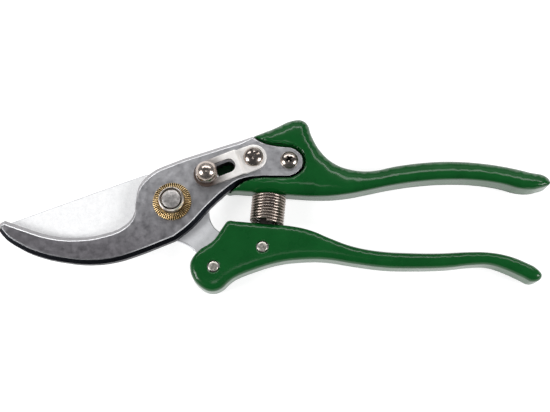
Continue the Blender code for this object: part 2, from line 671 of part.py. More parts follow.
def main():
    for thing in list(bpy.data.objects):
        bpy.data.objects.remove(thing)
    parts = collection("pruning_shears")
    cutters = collection("cutters")
    paint = material("green_enamel", (0.006, 0.075, 0.018), 0.0, 0.22)
    blade_steel = material("polished_steel", (0.72, 0.73, 0.74), 1.0, 0.22)
    hook_steel = material("satin_steel", (0.33, 0.34, 0.36), 1.0, 0.36)
    nickel = material("nickel_plate", (0.62, 0.57, 0.51), 1.0, 0.2)
    steel = material("plain_steel", (0.5, 0.5, 0.5), 1.0, 0.3)
    zinc = material("yellow_zinc", (0.66, 0.48, 0.2), 1.0, 0.32)
    bronze = material("bronze", (0.45, 0.3, 0.15), 1.0, 0.35)
    spring_steel = material("spring_steel", (0.45, 0.4, 0.35), 1.0, 0.28)

    make_hook(parts, cutters, hook_steel)
    make_upper_handle(parts, cutters, paint)
    blade = make_blade(parts, cutters, blade_steel)
    lower = make_lower_handle(parts, cutters, paint)
    make_pivot(parts, steel, nickel, zinc, bronze)
    make_screw("lock_plate_screw", PLATE_SCREW_AT, PLATE_BOTTOM + PLATE_THICKNESS + TOUCH,
               PLATE_SCREW_HEAD_RADIUS, parts, cutters, nickel)
    make_screw("tail_screw", TAIL_SCREW_AT, PLATE_BOTTOM, TAIL_SCREW_HEAD_RADIUS,
               parts, cutters, nickel)
    rivets = make_rivets(parts, steel)
    make_lock_plate(parts, cutters, nickel)
    slider = make_lock_slider(parts, nickel, steel, bronze)
    make_spring(parts, spring_steel)
    attach("handle_pivot", (0.0, 0.0), [blade, lower, *rivets])
    attach("lock_slide", LOCKED_AT, slider)


main()
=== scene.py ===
"""Looks of the bypass pruning shears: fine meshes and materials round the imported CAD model.

Lengths are in millimetres until a mesh is made, where MM turns them into metres.  Flat pieces are
reliefs: a solid between two height fields over an outline, which comes from slicing the CAD node.
"""

import json
from math import acos, atan2, cos, pi, radians, sin, sqrt

import bmesh
import bpy
import numpy as np
from numpy.linalg import norm
from mathutils import Matrix, Vector
from mathutils.geometry import delaunay_2d_cdt


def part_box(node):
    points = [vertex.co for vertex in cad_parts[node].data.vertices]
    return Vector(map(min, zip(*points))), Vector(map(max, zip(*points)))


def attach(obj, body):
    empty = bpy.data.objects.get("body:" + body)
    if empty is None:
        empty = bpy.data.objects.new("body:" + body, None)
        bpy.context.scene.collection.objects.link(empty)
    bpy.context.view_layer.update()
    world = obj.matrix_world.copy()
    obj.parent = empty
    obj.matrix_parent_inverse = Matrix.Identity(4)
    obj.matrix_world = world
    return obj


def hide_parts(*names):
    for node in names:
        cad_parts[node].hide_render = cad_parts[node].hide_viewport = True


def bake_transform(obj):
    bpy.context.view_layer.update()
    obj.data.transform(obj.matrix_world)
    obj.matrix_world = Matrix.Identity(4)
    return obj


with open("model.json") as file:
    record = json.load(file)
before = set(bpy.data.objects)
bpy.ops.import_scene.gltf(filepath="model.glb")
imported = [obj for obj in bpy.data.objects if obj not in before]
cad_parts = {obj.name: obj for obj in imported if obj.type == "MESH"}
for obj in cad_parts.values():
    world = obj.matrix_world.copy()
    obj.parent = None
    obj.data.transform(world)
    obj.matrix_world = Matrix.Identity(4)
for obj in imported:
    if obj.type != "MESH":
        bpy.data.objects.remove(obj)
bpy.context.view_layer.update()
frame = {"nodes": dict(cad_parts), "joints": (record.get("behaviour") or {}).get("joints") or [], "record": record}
NODES = frame["nodes"]
BODY = {node: body for body, nodes in frame["record"]["behaviour"]["bodies"].items() for node in nodes}
MM = 0.001
TOUCH_GAP = 0.3  # between touching pieces

# ---------------- camera, light and floor (metres)

CAMERA_TILT = radians(14.5)  # away from straight down
CAMERA_DISTANCE = 0.36
CAMERA_LENS = 60
CAMERA_SENSOR = 36
CAMERA_NEAR = 0.01
CAMERA_AIM = (0.0401, -0.0010, 0.009)

# name: elevation and azimuth in degrees (90 is beyond the shears), distance, width, height, radiance
LIGHTS = {
    "back_strip": (46, 90, 0.75, 1.2, 0.14, 5.4),
    "back_low": (22, 90, 0.9, 1.6, 0.22, 0.5),
    "left_box": (34, 196, 0.8, 0.3, 0.34, 11.2),
    "right_box": (34, 344, 0.8, 0.3, 0.34, 11.2),
    "top_box": (86, 240, 0.9, 0.13, 0.13, 3.0),
}
LIGHTS_AIM = (0.04, 0, 0)
SKY_COLOUR = (0.92, 0.96, 1.0)
SKY_STRENGTH = 0.12
FLOOR_SIZE = 3
FLOOR_DROP = 0.2 * MM  # floor below the lowest faces
FLOOR_COLOUR = (0.5, 0.5, 0.5)
FLOOR_ROUGHNESS = 0.9
FLOOR_GLOW = 0.75  # paper lit from below too, so shadows stay faint


def add_object(name, data):
    thing = bpy.data.objects.new(name, data)
    bpy.context.scene.collection.objects.link(thing)
    return thing


def make_camera():
    data = bpy.data.cameras.new("camera")
    data.lens = CAMERA_LENS
    data.sensor_width = CAMERA_SENSOR
    data.clip_start = CAMERA_NEAR
    camera = add_object("camera", data)
    back = Vector((0, -sin(CAMERA_TILT), cos(CAMERA_TILT)))
    camera.location = Vector(CAMERA_AIM) + back * CAMERA_DISTANCE
    camera.rotation_euler = (CAMERA_TILT, 0, 0)
    bpy.context.scene.camera = camera


def area_light(name, elevation, azimuth, distance, width, height, radiance):
    data = bpy.data.lights.new(name, "AREA")
    data.shape = "RECTANGLE"
    data.size, data.size_y = width, height
    data.energy = radiance * pi * width * height
    light = add_object(name, data)
    up, round_ = radians(elevation), radians(azimuth)
    way = Vector((cos(up) * cos(round_), cos(up) * sin(round_), sin(up)))
    light.location = Vector(LIGHTS_AIM) + way * distance
    light.rotation_euler = (-way).to_track_quat("-Z", "Y").to_euler()


def make_studio():
    bpy.context.scene.view_settings.view_transform = "Standard"
    world = bpy.data.worlds.new("studio")
    world.use_nodes = True
    background = world.node_tree.nodes["Background"]
    background.inputs["Color"].default_value = (*SKY_COLOUR, 1)
    background.inputs["Strength"].default_value = SKY_STRENGTH
    bpy.context.scene.world = world
    for name, facts in LIGHTS.items():
        area_light(name, *facts)
    bpy.ops.mesh.primitive_plane_add(size=FLOOR_SIZE)
    floor = bpy.context.object
    floor.name = "floor"
    floor.location.z = -FLOOR_DROP
    look = new_look("floor_paper", FLOOR_COLOUR, 0.0, FLOOR_ROUGHNESS, Specular_IOR_Level=0.0,
                    Emission_Color=(1, 1, 1, 1), Emission_Strength=FLOOR_GLOW)[0]
    floor.data.materials.append(look)


# ---------------- material nodes

SCRATCH_SHAPE = (0.5, 14, 3)  # scratches, in grains
SCRATCH_TURN = 0.35  # and their angle to the grain, in radians
FINE_TONE = (0.94, 1.06)
STAIN_SIZE = 0.45  # share of the mottle's size
STAIN_MOST = 0.55
WEAR_RANGE = (0.515, 0.56)  # pointiness of a flat and of a worn edge
ROUGHNESS_SPREAD = 0.08
ENAMEL_GREEN = (0.0026, 0.074, 0.0125)
# painted light and shade on the hook's rim: lit grey where its edge faces +Y, near black where it faces -Y
RIM_PAINTED_LIT = (0.43, 0.42, 0.43)
RIM_PAINTED_SHADE = (0.012, 0.013, 0.017)
RIM_TURNS_TO_SHADE = (-0.35, -0.1)  # between these Y of its normal the hook's rim turns from painted shade to painted light


def new_look(name, colour, metallic, roughness, **sockets):
    look = bpy.data.materials.new(name)
    look.use_nodes = True
    shader = look.node_tree.nodes["Principled BSDF"]
    shader.inputs["Base Color"].default_value = (*colour, 1)
    shader.inputs["Metallic"].default_value = metallic
    shader.inputs["Roughness"].default_value = roughness
    for socket, value in sockets.items():
        shader.inputs[socket.replace("_", " ")].default_value = value
    return look, look.node_tree, shader


def put(tree, kind, inputs=(), **settings):
    """Add a node; an input that is a socket is linked, any other is its value."""
    node = tree.nodes.new("ShaderNode" + kind)
    for key, value in settings.items():
        setattr(node, key, value)
    for key, value in dict(inputs).items():
        if isinstance(value, bpy.types.NodeSocket):
            tree.links.new(value, node.inputs[key])
        else:
            node.inputs[key].default_value = value
    return node


def noise(tree, size, detail, rough, turn=0.0):
    """Noise with grains of a size in millimetres, one for each axis or one for all."""
    sizes = size if isinstance(size, tuple) else (size, size, size)
    coords = tree.nodes.get("coords")
    if coords is None:
        coords = put(tree, "TexCoord", name="coords")
    turned = put(tree, "Mapping", {"Vector": coords.outputs["Object"], "Rotation": (0, 0, -turn)})
    scaled = put(tree, "Mapping", {"Vector": turned.outputs[0],
                                             "Scale": tuple(1 / (s * MM) for s in sizes)})
    return put(tree, "TexNoise", {"Vector": scaled.outputs[0], "Scale": 1.0,
                                            "Detail": detail, "Roughness": rough}).outputs[0]


def remap(tree, value, low, high, start=0.3, end=0.7):
    """From low to high as the value goes from start to end, which by default span a noise."""
    return put(tree, "MapRange", {"Value": value, "From Min": start, "From Max": end,
                                            "To Min": low, "To Max": high}).outputs[0]


def times(tree, first, second):
    return put(tree, "Math", {0: first, 1: second}, operation="MULTIPLY").outputs[0]


def as_colour(value):
    return value if isinstance(value, bpy.types.NodeSocket) else (*value, 1)


def tint(tree, colour, factor):
    """A colour, or the socket of one, made lighter or darker by a factor."""
    grey = put(tree, "CombineColor", {"Red": factor, "Green": factor, "Blue": factor})
    return put(tree, "Mix", {"Factor": 1.0, 6: as_colour(colour), 7: grey.outputs[0]},
               data_type="RGBA", blend_type="MULTIPLY", clamp_result=False).outputs[2]


def between(tree, first, second, factor):
    return put(tree, "Mix", {"Factor": factor, 6: as_colour(first), 7: as_colour(second)},
               data_type="RGBA").outputs[2]


def attribute(tree, name):
    return put(tree, "Attribute", attribute_name=name).outputs["Fac"]


def add_bump(tree, shader, layers):
    """Bump from several height layers of (height, depth in millimetres)."""
    normal = None
    for height, depth in layers:
        inputs = {"Height": height, "Strength": 1.0, "Distance": depth * MM}
        if normal is not None:
            inputs["Normal"] = normal
        normal = put(tree, "Bump", inputs).outputs[0]
    tree.links.new(normal, shader.inputs["Normal"])


def metal(name, colour, roughness, mottle=0.12, mottle_size=3.0, grain=(0.25, 0.25, 0.25), turn=0.0,
          grain_depth=0.004, wear=0, metallic=1.0, stain=None, masked=None):
    """Bare metal: cloudy tone, fine grain or brushing, patchy roughness, brighter worn edges.

    masked is (name of a point attribute, the colour where it is 1)."""
    look, tree, shader = new_look(name, colour, metallic, roughness)
    cloud = noise(tree, mottle_size, detail=6, rough=0.6)
    fine = noise(tree, grain, detail=3, rough=0.6, turn=turn)
    scratch_size = tuple(g * s for g, s in zip(grain, SCRATCH_SHAPE))
    scratch = noise(tree, scratch_size, detail=2, rough=0.5, turn=turn + SCRATCH_TURN)
    tone = times(tree, remap(tree, cloud, 1 - mottle, 1 + mottle), remap(tree, fine, *FINE_TONE))
    shade = tint(tree, colour, tone)
    if stain is not None:
        spots = noise(tree, mottle_size * STAIN_SIZE, detail=5, rough=0.65)
        shade = between(tree, shade, stain, remap(tree, spots, 0.0, STAIN_MOST, start=0.55, end=0.75))
    if masked is not None:
        shade = between(tree, shade, tint(tree, masked[1], tone), attribute(tree, masked[0]))
    if wear > 0:
        bright = tuple(min(1.0, c * (1 + wear) + 0.1 * wear) for c in colour)
        pointed = put(tree, "NewGeometry").outputs["Pointiness"]
        shade = between(tree, shade, bright, remap(tree, pointed, 0.0, 1.0, *WEAR_RANGE))
    tree.links.new(shade, shader.inputs["Base Color"])
    spread = ROUGHNESS_SPREAD
    patchy = put(tree, "Math", {0: remap(tree, fine, -spread / 2, spread / 2),
                                          1: remap(tree, cloud, roughness - spread, roughness + spread)},
                 operation="ADD", use_clamp=True)
    tree.links.new(patchy.outputs[0], shader.inputs["Roughness"])
    add_bump(tree, shader, [(fine, grain_depth), (scratch, grain_depth * 1.5)])
    return look


def enamel():
    """Thick glossy green paint over cast metal, with clouds, orange peel and fine specks."""
    look, tree, shader = new_look("green_enamel", ENAMEL_GREEN, 0.0, 0.3, Specular_IOR_Level=0.12,
                                  Coat_Weight=0.48, Coat_Roughness=0.14)
    cloud = noise(tree, 9.0, detail=4, rough=0.55)
    peel = noise(tree, 1.1, detail=2, rough=0.5)
    speck = noise(tree, 0.22, detail=3, rough=0.7)
    tone = times(tree, remap(tree, cloud, 0.88, 1.12), remap(tree, speck, 0.92, 1.1))
    tree.links.new(tint(tree, ENAMEL_GREEN, tone), shader.inputs["Base Color"])
    tree.links.new(remap(tree, cloud, 0.24, 0.36), shader.inputs["Roughness"])
    add_bump(tree, shader, [(peel, 0.0025), (speck, 0.0006)])
    return look


def hook_rim_lit_and_shaded():
    """Ground rim of the hook with painted light and shade: lit grey where it faces +Y, near black where it faces
    -Y.
    """
    look, tree, shader = new_look("hook_rim", (0.5, 0.5, 0.5), 1.0, 0.4)
    cloud = noise(tree, 1.6, detail=5, rough=0.6)
    brushed = noise(tree, (0.12, 2.4, 0.5), detail=2, rough=0.5, turn=0.2)
    light = tint(tree, RIM_PAINTED_LIT, remap(tree, cloud, 0.85, 1.15))
    painted_shade = tint(tree, RIM_PAINTED_SHADE, remap(tree, brushed, 0.6, 1.8))
    shade_share = remap(tree, attribute(tree, "facing"), 1.0, 0.0, *RIM_TURNS_TO_SHADE)
    tree.links.new(between(tree, light, painted_shade, shade_share), shader.inputs["Base Color"])
    tree.links.new(remap(tree, cloud, 0.34, 0.46), shader.inputs["Roughness"])
    add_bump(tree, shader, [(brushed, 0.006), (cloud, 0.01)])
    return look


# ---------------- outlines

WELD = 1e-7  # metres
THIN_GAP = 0.05  # outline points closer than this are one
SHARP_TURN = 32.0  # degrees; an outline point that turns more may be a corner
CORNER_LEAD = 1.5  # if it turns this many times as much as its neighbours
SPAN_POINTS = 12
ON_LINE = 0.005


def extent(node):
    """Lowest and highest corner of a CAD node, in millimetres."""
    low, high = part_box(node)
    return np.array(low) / MM, np.array(high) / MM


def middle(node):
    low, high = extent(node)
    return (low + high) / 2


def slice_loops(node, height):
    """Closed outlines where a CAD node meets a level; the one with the largest area comes first."""
    shape = bmesh.new()
    shape.from_mesh(NODES[node].data)
    bmesh.ops.remove_doubles(shape, verts=shape.verts, dist=WELD)
    cut = bmesh.ops.bisect_plane(shape, geom=shape.verts[:] + shape.edges[:] + shape.faces[:],
                                 plane_co=(0, 0, height * MM), plane_no=(0, 0, 1))
    links = {}
    for edge in cut["geom_cut"]:
        if isinstance(edge, bmesh.types.BMEdge):
            for here, there in (edge.verts, reversed(edge.verts)):
                links.setdefault(here, []).append(there)
    loops = []
    unused = dict.fromkeys(links)
    while unused:
        here = next(iter(unused))
        loop = []
        while here is not None:
            del unused[here]
            loop.append(here.co.xy / MM)
            here = next((v for v in links[here] if v in unused), None)
        if len(loop) > 2:
            loops.append(anticlockwise(thin_out(np.array(loop))))
    shape.free()
    return sorted(loops, key=area, reverse=True)


def thin_out(points):
    """Drop the points of an outline that nearly coincide with the one before."""
    kept = [points[0]]
    for point in points[1:]:
        if norm(point - kept[-1]) > THIN_GAP:
            kept.append(point)
    if norm(kept[-1] - kept[0]) < THIN_GAP:
        kept.pop()
    return np.array(kept)


def area(points):
    x, y = points.T
    return 0.5 * (x @ np.roll(y, -1) - y @ np.roll(x, -1))


def anticlockwise(points):
    return points if area(points) > 0 else points[::-1]


def turns(points):
    """How far, in degrees, an outline turns at each of its points."""
    back, onward = points - np.roll(points, 1, 0), np.roll(points, -1, 0) - points
    cross = back[:, 0] * onward[:, 1] - back[:, 1] * onward[:, 0]
    return np.degrees(np.arctan2(cross, (back * onward).sum(1)))


def refine(points, step):
    """A closed outline as a smooth curve through its points, evenly sampled; corners stay sharp."""
    count = len(points)
    turn = np.abs(turns(points))
    corner = turn > SHARP_TURN
    for side in (1, -1):
        corner &= turn > CORNER_LEAD * np.roll(turn, side)
    spans, span = [], []
    first = int(np.argmax(corner))
    for i in range(count):
        a, b = (first + i) % count, (first + i + 1) % count
        p1, p2 = points[a], points[b]
        p0 = 2 * p1 - p2 if corner[a] else points[a - 1]
        p3 = 2 * p2 - p1 if corner[b] else points[(b + 1) % count]
        span.extend(curve_points(p0, p1, p2, p3))
        if corner[b] or i == count - 1:
            spans.append(np.array(span + [p2]))
            span = []
    dense = []
    for line in spans:
        run = np.concatenate([[0], np.cumsum(norm(np.diff(line, axis=0), axis=1))])
        pieces = max(1, round(run[-1] / step))
        at = np.linspace(0, run[-1], pieces + 1)
        even = np.stack([np.interp(at, run, line[:, k]) for k in (0, 1)], 1)
        dense.append(even[:-1])
    return np.concatenate(dense)


def outlines(node, height):
    """A flat piece's smooth outline, and those of its holes."""
    loops = slice_loops(node, height)
    return refine(loops[0], 0.45), [refine(loop, 0.5) for loop in loops[1:]]


def curve_points(*corners):
    """Centripetal Catmull-Rom points from the second of four corners up to, but not at, the third."""
    knots = [0.0]
    for a, b in zip(corners, corners[1:]):
        knots.append(knots[-1] + max(norm(b - a), 1e-6) ** 0.5)
    result = []
    for t in np.linspace(knots[1], knots[2], SPAN_POINTS, endpoint=False):
        level = corners
        for spans in ([(0, 1), (1, 2), (2, 3)], [(0, 2), (1, 3)], [(1, 2)]):
            ends = [(knots[a], knots[b]) for a, b in spans]
            level = [(v - t) / (v - u) * p + (t - u) / (v - u) * q
                     for (u, v), p, q in zip(ends, level, level[1:])]
        result.append(level[0])
    return result


def circle(centre, radius, count):
    angles = 2 * pi * np.arange(count) / count
    return np.stack([centre[0] + radius * np.cos(angles), centre[1] + radius * np.sin(angles)], 1)


def stadium(start, end, radius, count=24):
    """A straight slot's outline, with round ends about its two points."""
    along = atan2(*(end - start)[::-1])
    points = []
    for centre, turn in ((end, -pi / 2), (start, pi / 2)):
        for i in range(count + 1):
            angle = along + turn + pi * i / count
            points.append(centre + radius * np.array([cos(angle), sin(angle)]))
    return np.array(points)


def outward(points, closed=True):
    """Unit normals of an anticlockwise outline, pointing out of it."""
    if closed:
        along = np.roll(points, -1, 0) - np.roll(points, 1, 0)
    else:
        along = np.gradient(points, axis=0)
    along = along / norm(along, axis=1, keepdims=True)
    return np.stack([along[:, 1], -along[:, 0]], 1)


def nearest(points, line, closed=True):
    """Distance from each point to a line of points, and the index of the nearest of its segments."""
    if closed:
        return nearest_of(points, line, np.roll(line, -1, 0))
    return nearest_of(points, line[:-1], line[1:])


def nearest_of(points, start, end):
    """The same for separate segments, worked out in blocks to save memory."""
    block = 2000
    run = end - start
    length = np.maximum((run * run).sum(1), 1e-12)
    distance, index = np.empty(len(points)), np.empty(len(points), int)
    for i in range(0, len(points), block):
        gap = points[i:i + block, None, :] - start[None]
        share = np.clip((gap * run).sum(2) / length, 0, 1)
        gap -= share[..., None] * run
        squares = (gap * gap).sum(2)
        index[i:i + block] = squares.argmin(1)
        distance[i:i + block] = np.sqrt(squares.min(1))
    return distance, index


def inside(points, loops):
    """Which points lie inside an odd number of outlines."""
    block = 4000
    odd = np.zeros(len(points), bool)
    for loop in loops:
        start, end = loop, np.roll(loop, -1, 0)
        for i in range(0, len(points), block):
            x, y = points[i:i + block, 0, None], points[i:i + block, 1, None]
            spans = (start[:, 1] > y) != (end[:, 1] > y)
            rise = np.where(end[:, 1] == start[:, 1], 1.0, end[:, 1] - start[:, 1])
            cross = start[:, 0] + (y - start[:, 1]) / rise * (end[:, 0] - start[:, 0])
            odd[i:i + block] ^= (spans & (x < cross)).sum(1) % 2 == 1
    return odd


def fillet(distance, width, depth):
    """How far below a face a quarter-ellipse edge is, at a distance in from the outline."""
    share = np.clip(1 - distance / width, 0, 1)
    return depth * (1 - np.sqrt(1 - share * share))


def fillet_rings(width, count):
    return [width * (1 - cos(pi / 2 * i / count)) for i in range(1, count + 1)]


def slope(distance, steps):
    """Depth along straight facets, from (distance, depth) points."""
    return np.interp(distance, [s[0] for s in steps], [s[1] for s in steps])


# ---------------- reliefs

ROW_SHARE = 0.866  # rows of a triangular grid, in spacings
RING_CLEAR = 0.97  # a ring's point stays this share of its depth off the line
THINNED_RING = 2.4  # rings deeper than this keep every second point
GRID_CLEAR = (0.6, 0.5)  # spacings from the last ring to the grid: outline, holes
LINE_CLEAR = (0.02, 0.05, 0.03)  # least distance of a free point to the outline, holes, fence
STEADY_RIM = 0.7  # smoothing leaves points alone that are nearer to a line
STEADY_FENCE = 0.2  # the same, past the fence's own rings
SMOOTH_TOP, SMOOTH_BACK = 5, 8  # rounds of smoothing for the shading normals
NORMAL_STEP = 0.02


def ring_at(loop, depth, share, closed=True):
    """The line moved out by a depth times a share, without the points that end up too near it."""
    ring = loop + depth * np.reshape(share, (-1, 1)) * outward(loop, closed)
    return ring[nearest(ring, loop, closed)[0] > RING_CLEAR * abs(depth) * share]


def free_points(outline, holes, rings, spacing, hole_rings, fence, fence_rings, scale):
    """Mesh points inside an outline: rings along its lines, and a triangular grid between them."""
    free = []
    lines = [(outline, rings, -1, scale)] + [(hole, hole_rings, 1, 1.0) for hole in holes]
    for loop, depths, side, share in lines:
        for depth in depths:
            ring = ring_at(loop, side * depth, share)
            free.append(ring[::2] if depth > THINNED_RING else ring)
    free += [ring_at(fence, depth, 1.0, closed=False) for depth in fence_rings]
    low, high = outline.min(0), outline.max(0)
    rows = np.arange(low[1], high[1], spacing * ROW_SHARE)
    grid = np.array([(x + (spacing / 2 if i % 2 else 0), y) for i, y in enumerate(rows)
                     for x in np.arange(low[0], high[0], spacing)])
    grid = grid[nearest(grid, outline)[0] > max(rings) + spacing * GRID_CLEAR[0]]
    for hole in holes:
        grid = grid[nearest(grid, hole)[0] > max(hole_rings) + spacing * GRID_CLEAR[1]]
    free = np.concatenate([*free, grid])
    free = free[inside(free, [outline, *holes])]
    free = free[nearest(free, outline)[0] > LINE_CLEAR[0]]
    for hole in holes:
        free = free[nearest(free, hole)[0] > LINE_CLEAR[1]]
    if fence is not None:
        free = free[nearest(free, fence, closed=False)[0] > LINE_CLEAR[2]]
    return free


def triangulate(loops, fence, free):
    """Plan points, anticlockwise triangles between them, and the edges that lie on the plan's lines."""
    points, edges = [], []
    for loop in loops:
        first, count = len(points), len(loop)
        points.extend(loop)
        edges.extend((first + i, first + (i + 1) % count) for i in range(count))
    if fence is not None:
        first = len(points)
        points.extend(fence)
        edges.extend((first + i, first + i + 1) for i in range(len(fence) - 1))
    points.extend(free)
    result = delaunay_2d_cdt([Vector(p) for p in points], edges, [], 0, 1e-5, True)
    flat = np.array([tuple(p) for p in result[0]])
    triangles = np.array([tuple(t) for t in result[2]])
    triangles = triangles[inside(flat[triangles].mean(1), loops)]
    a, b, c = (flat[triangles[:, i]] for i in range(3))
    spin = (b[:, 0] - a[:, 0]) * (c[:, 1] - a[:, 1]) - (b[:, 1] - a[:, 1]) * (c[:, 0] - a[:, 0])
    triangles[spin < 0] = triangles[spin < 0][:, ::-1]
    lines = {tuple(sorted(edge)) for edge, source in zip(result[1], result[4]) if source}
    return flat, triangles, lines


def sides(triangle):
    return zip(triangle, triangle[1:] + triangle[:1])


def beyond_fence(seed, flat, triangles, beside, lines):
    """Which triangles are reached from a seed point without crossing a line."""
    reached = np.zeros(len(triangles), bool)
    centres = flat[triangles].mean(1)
    queue = [int(((centres - np.array(seed)) ** 2).sum(1).argmin())]
    reached[queue[0]] = True
    while queue:
        for u, v in sides(triangles[queue.pop()].tolist()):
            other = beside.get((v, u))
            if other is not None and not reached[other] and tuple(sorted((u, v))) not in lines:
                reached[other] = True
                queue.append(other)
    return reached


def enclose(flat, triangles, beside, sunk, heights):
    """The solid's points as (plan point, level) and its faces, with each face's kind.

    heights holds the height of every plan point at each level: top, floor and low."""
    where, faces, kinds = {}, [], []
    levels = ["floor" if down else "top" for down in sunk]

    def point(v, level):
        return where.setdefault((v, level), len(where))

    for triangle, level in zip(triangles.tolist(), levels):
        for v in triangle:
            point(v, level)
    for i, (triangle, level) in enumerate(zip(triangles.tolist(), levels)):
        faces.append([point(v, level) for v in triangle])
        faces.append([point(v, "low") for v in reversed(triangle)])
        kinds += [level, "low"]
        for u, v in sides(triangle):
            other = beside.get((v, u))
            if other is None or (sunk[other] and not sunk[i]):
                foot = "low" if other is None else "floor"
                wall = [(u, level), (u, "floor"), (u, foot), (v, foot), (v, "floor"), (v, level)]
                faces.append([where[p] for p in dict.fromkeys(wall) if p in where])
                kinds.append("wall")
    verts = [(flat[v, 0] * MM, flat[v, 1] * MM, heights[level][v] * MM) for v, level in where]
    return list(where), verts, faces, kinds


def relief(name, outline, holes, top, bottom, rings, spacing, hole_rings, fence=None, fence_rings=(),
           floor=None, smoothing=0, scale=1.0, rounded=False):
    """A solid over an outline, between the heights that top() and bottom() give at its points.

    fence is an open line across the outline; floor is (a point beyond it, a height): the top of the
    part on that side is a flat floor at that height, with an upright wall along the fence.
    Returns the mesh, what each face is, and for a rounded piece the normals at its face corners."""
    loops = [outline, *holes]
    free = free_points(outline, holes, rings, spacing, hole_rings, fence, fence_rings, scale)
    flat, triangles, lines = triangulate(loops, fence, free)
    beside = {side: i for i, triangle in enumerate(triangles.tolist()) for side in sides(triangle)}
    sunk = np.zeros(len(triangles), bool)
    if floor is not None:
        sunk = beyond_fence(floor[0], flat, triangles, beside, lines)
    steady = np.min([nearest(flat, loop)[0] for loop in loops], axis=0) <= STEADY_RIM
    steady_top = steady.copy()
    steady_top[triangles[sunk]] = True
    if fence is not None:
        steady_top |= nearest(flat, fence, closed=False)[0] <= fence_rings[-1] + STEADY_FENCE
    heights = {"top": soften(top(flat), triangles[~sunk], steady_top, smoothing), "low": bottom(flat),
               "floor": np.full(len(flat), 0.0 if floor is None else floor[1])}
    source, verts, faces, kinds = enclose(flat, triangles, beside, sunk, heights)
    mesh = new_mesh(name, verts, faces)
    if not rounded:
        return mesh, kinds, None

    level, on_rim = level_normals(flat, outline)
    tops = np.where(on_rim[:, None], level, field_normals(top, flat))
    if fence is not None:
        across, on_fence = level_normals(flat, fence, closed=False)
        tops = np.where(on_fence[:, None], -across, tops)
    backs = np.where(on_rim[:, None], level, field_normals(bottom, flat)) * (1, 1, -1)
    fields = {"top": soften(tops, triangles[~sunk], steady_top, SMOOTH_TOP),
              "low": soften(backs, triangles, steady, SMOOTH_BACK), "wall": level}
    normals = []
    for face, kind in zip(faces, kinds):
        spots = [source[p][0] for p in face]
        plain = kind == "floor" or (kind == "wall" and not all(on_rim[v] for v in spots))
        normals += [(0, 0, 0) if plain else tuple(fields[kind][v]) for v in spots]
    return mesh, kinds, normals


def field_normals(height, flat):
    """Upward normals of a height field."""
    step = NORMAL_STEP
    slope_x = (height(flat + (step, 0)) - height(flat - (step, 0))) / (2 * step)
    slope_y = (height(flat + (0, step)) - height(flat - (0, step))) / (2 * step)
    normals = np.stack([-slope_x, -slope_y, np.ones(len(flat))], 1)
    return normals / norm(normals, axis=1, keepdims=True)


def level_normals(flat, line, closed=True):
    """The outward normal of the nearest part of a line, and which points are on the line."""
    gap, near = nearest(flat, line, closed)
    return np.column_stack([outward(line, closed)[near], np.zeros(len(flat))]), gap < ON_LINE


def soften(values, triangles, steady, rounds):
    """Average each value with its neighbours', except at steady points: it smooths the ridges where
    the fillets of two sides of a narrow part meet."""
    pairs = np.concatenate([triangles[:, [0, 1]], triangles[:, [1, 2]], triangles[:, [2, 0]]])
    pairs = np.concatenate([pairs, pairs[:, ::-1]])
    count = np.bincount(pairs[:, 0], minlength=len(values))
    free = ~steady & (count > 0)
    values = values.copy()
    columns = values.reshape(len(values), -1).T
    for column in columns:
        for _ in range(rounds):
            total = np.bincount(pairs[:, 0], weights=column[pairs[:, 1]], minlength=len(values))
            column[free] = total[free] / count[free]
    return values


# ---------------- meshes

def new_mesh(name, verts, faces):
    mesh = bpy.data.meshes.new(name)
    mesh.from_pydata(verts, [], faces)
    return mesh


def face_centres(mesh):
    centres = np.empty(len(mesh.polygons) * 3)
    mesh.polygons.foreach_get("center", centres)
    return centres.reshape(-1, 3)[:, :2] / MM


def mesh_points(mesh):
    points = np.empty(len(mesh.vertices) * 3)
    mesh.vertices.foreach_get("co", points)
    return points.reshape(-1, 3) / MM


def store(mesh, name, values):
    """Keep a value for each point of a mesh, which materials read as an attribute."""
    mesh.attributes.new(name, "FLOAT", "POINT").data.foreach_set("value", values.astype(np.float32))


def show(name, mesh, looks, node, angle, normals=None, bends=False):
    """Put a piece in the scene for a CAD node; it rides with the node's body unless it bends."""
    thing = add_object(name, mesh)
    picks = [p.material_index for p in mesh.polygons]
    mesh.materials.clear()
    for look in looks:
        mesh.materials.append(look)
    mesh.polygons.foreach_set("material_index", picks)
    mesh.validate()
    mesh.shade_smooth()
    mesh.set_sharp_from_angle(angle=radians(angle))
    if normals is not None:
        mesh.normals_split_custom_set(normals)
    if not bends:
        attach(thing, BODY[node])
    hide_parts(node)
    return thing


def soft_profile(points, radius):
    """A turned profile with its corners rounded."""
    points = [np.array(p, float) for p in points]
    result = [points[0]]
    for before, here, after in zip(points, points[1:], points[2:]):
        back, onward = before - here, after - here
        reach = min(radius, 0.45 * norm(back), 0.45 * norm(onward))
        start = here + back / max(norm(back), 1e-9) * reach
        end = here + onward / max(norm(onward), 1e-9) * reach
        for t in np.linspace(0, 1, 4):
            result.append((1 - t) ** 2 * start + 2 * t * (1 - t) * here + t * t * end)
    return result + [points[-1]]


def lathe(name, profile, centre, steps, shape=None):
    """Turn (radius, height) points about an upright axis; a profile off the axis closes on itself."""
    nothing = 1e-6
    on_axis = profile[0][0] < nothing and profile[-1][0] < nothing
    verts, rows = [], []
    for r, z in profile:
        if r < nothing:
            rows.append([len(verts)] * steps)
            verts.append((centre[0], centre[1], z))
            continue
        rows.append(list(range(len(verts), len(verts) + steps)))
        for i in range(steps):
            angle = 2 * pi * i / steps
            radius, height = (r, z) if shape is None else shape(r, z, angle)
            x, y = radius * cos(angle), radius * sin(angle)
            verts.append((centre[0] + x, centre[1] + y, height))
    faces = []
    rounds = list(zip(rows, rows[1:])) + ([] if on_axis else [(rows[-1], rows[0])])
    for upper, lower in rounds:
        for i in range(steps):
            j = (i + 1) % steps
            ring = [upper[i], lower[i], lower[j], upper[j]]
            ring = [v for k, v in enumerate(ring) if v != ring[k - 1]]
            if len(ring) > 2:
                faces.append(ring)
    return new_mesh(name, [tuple(c * MM for c in v) for v in verts], faces)


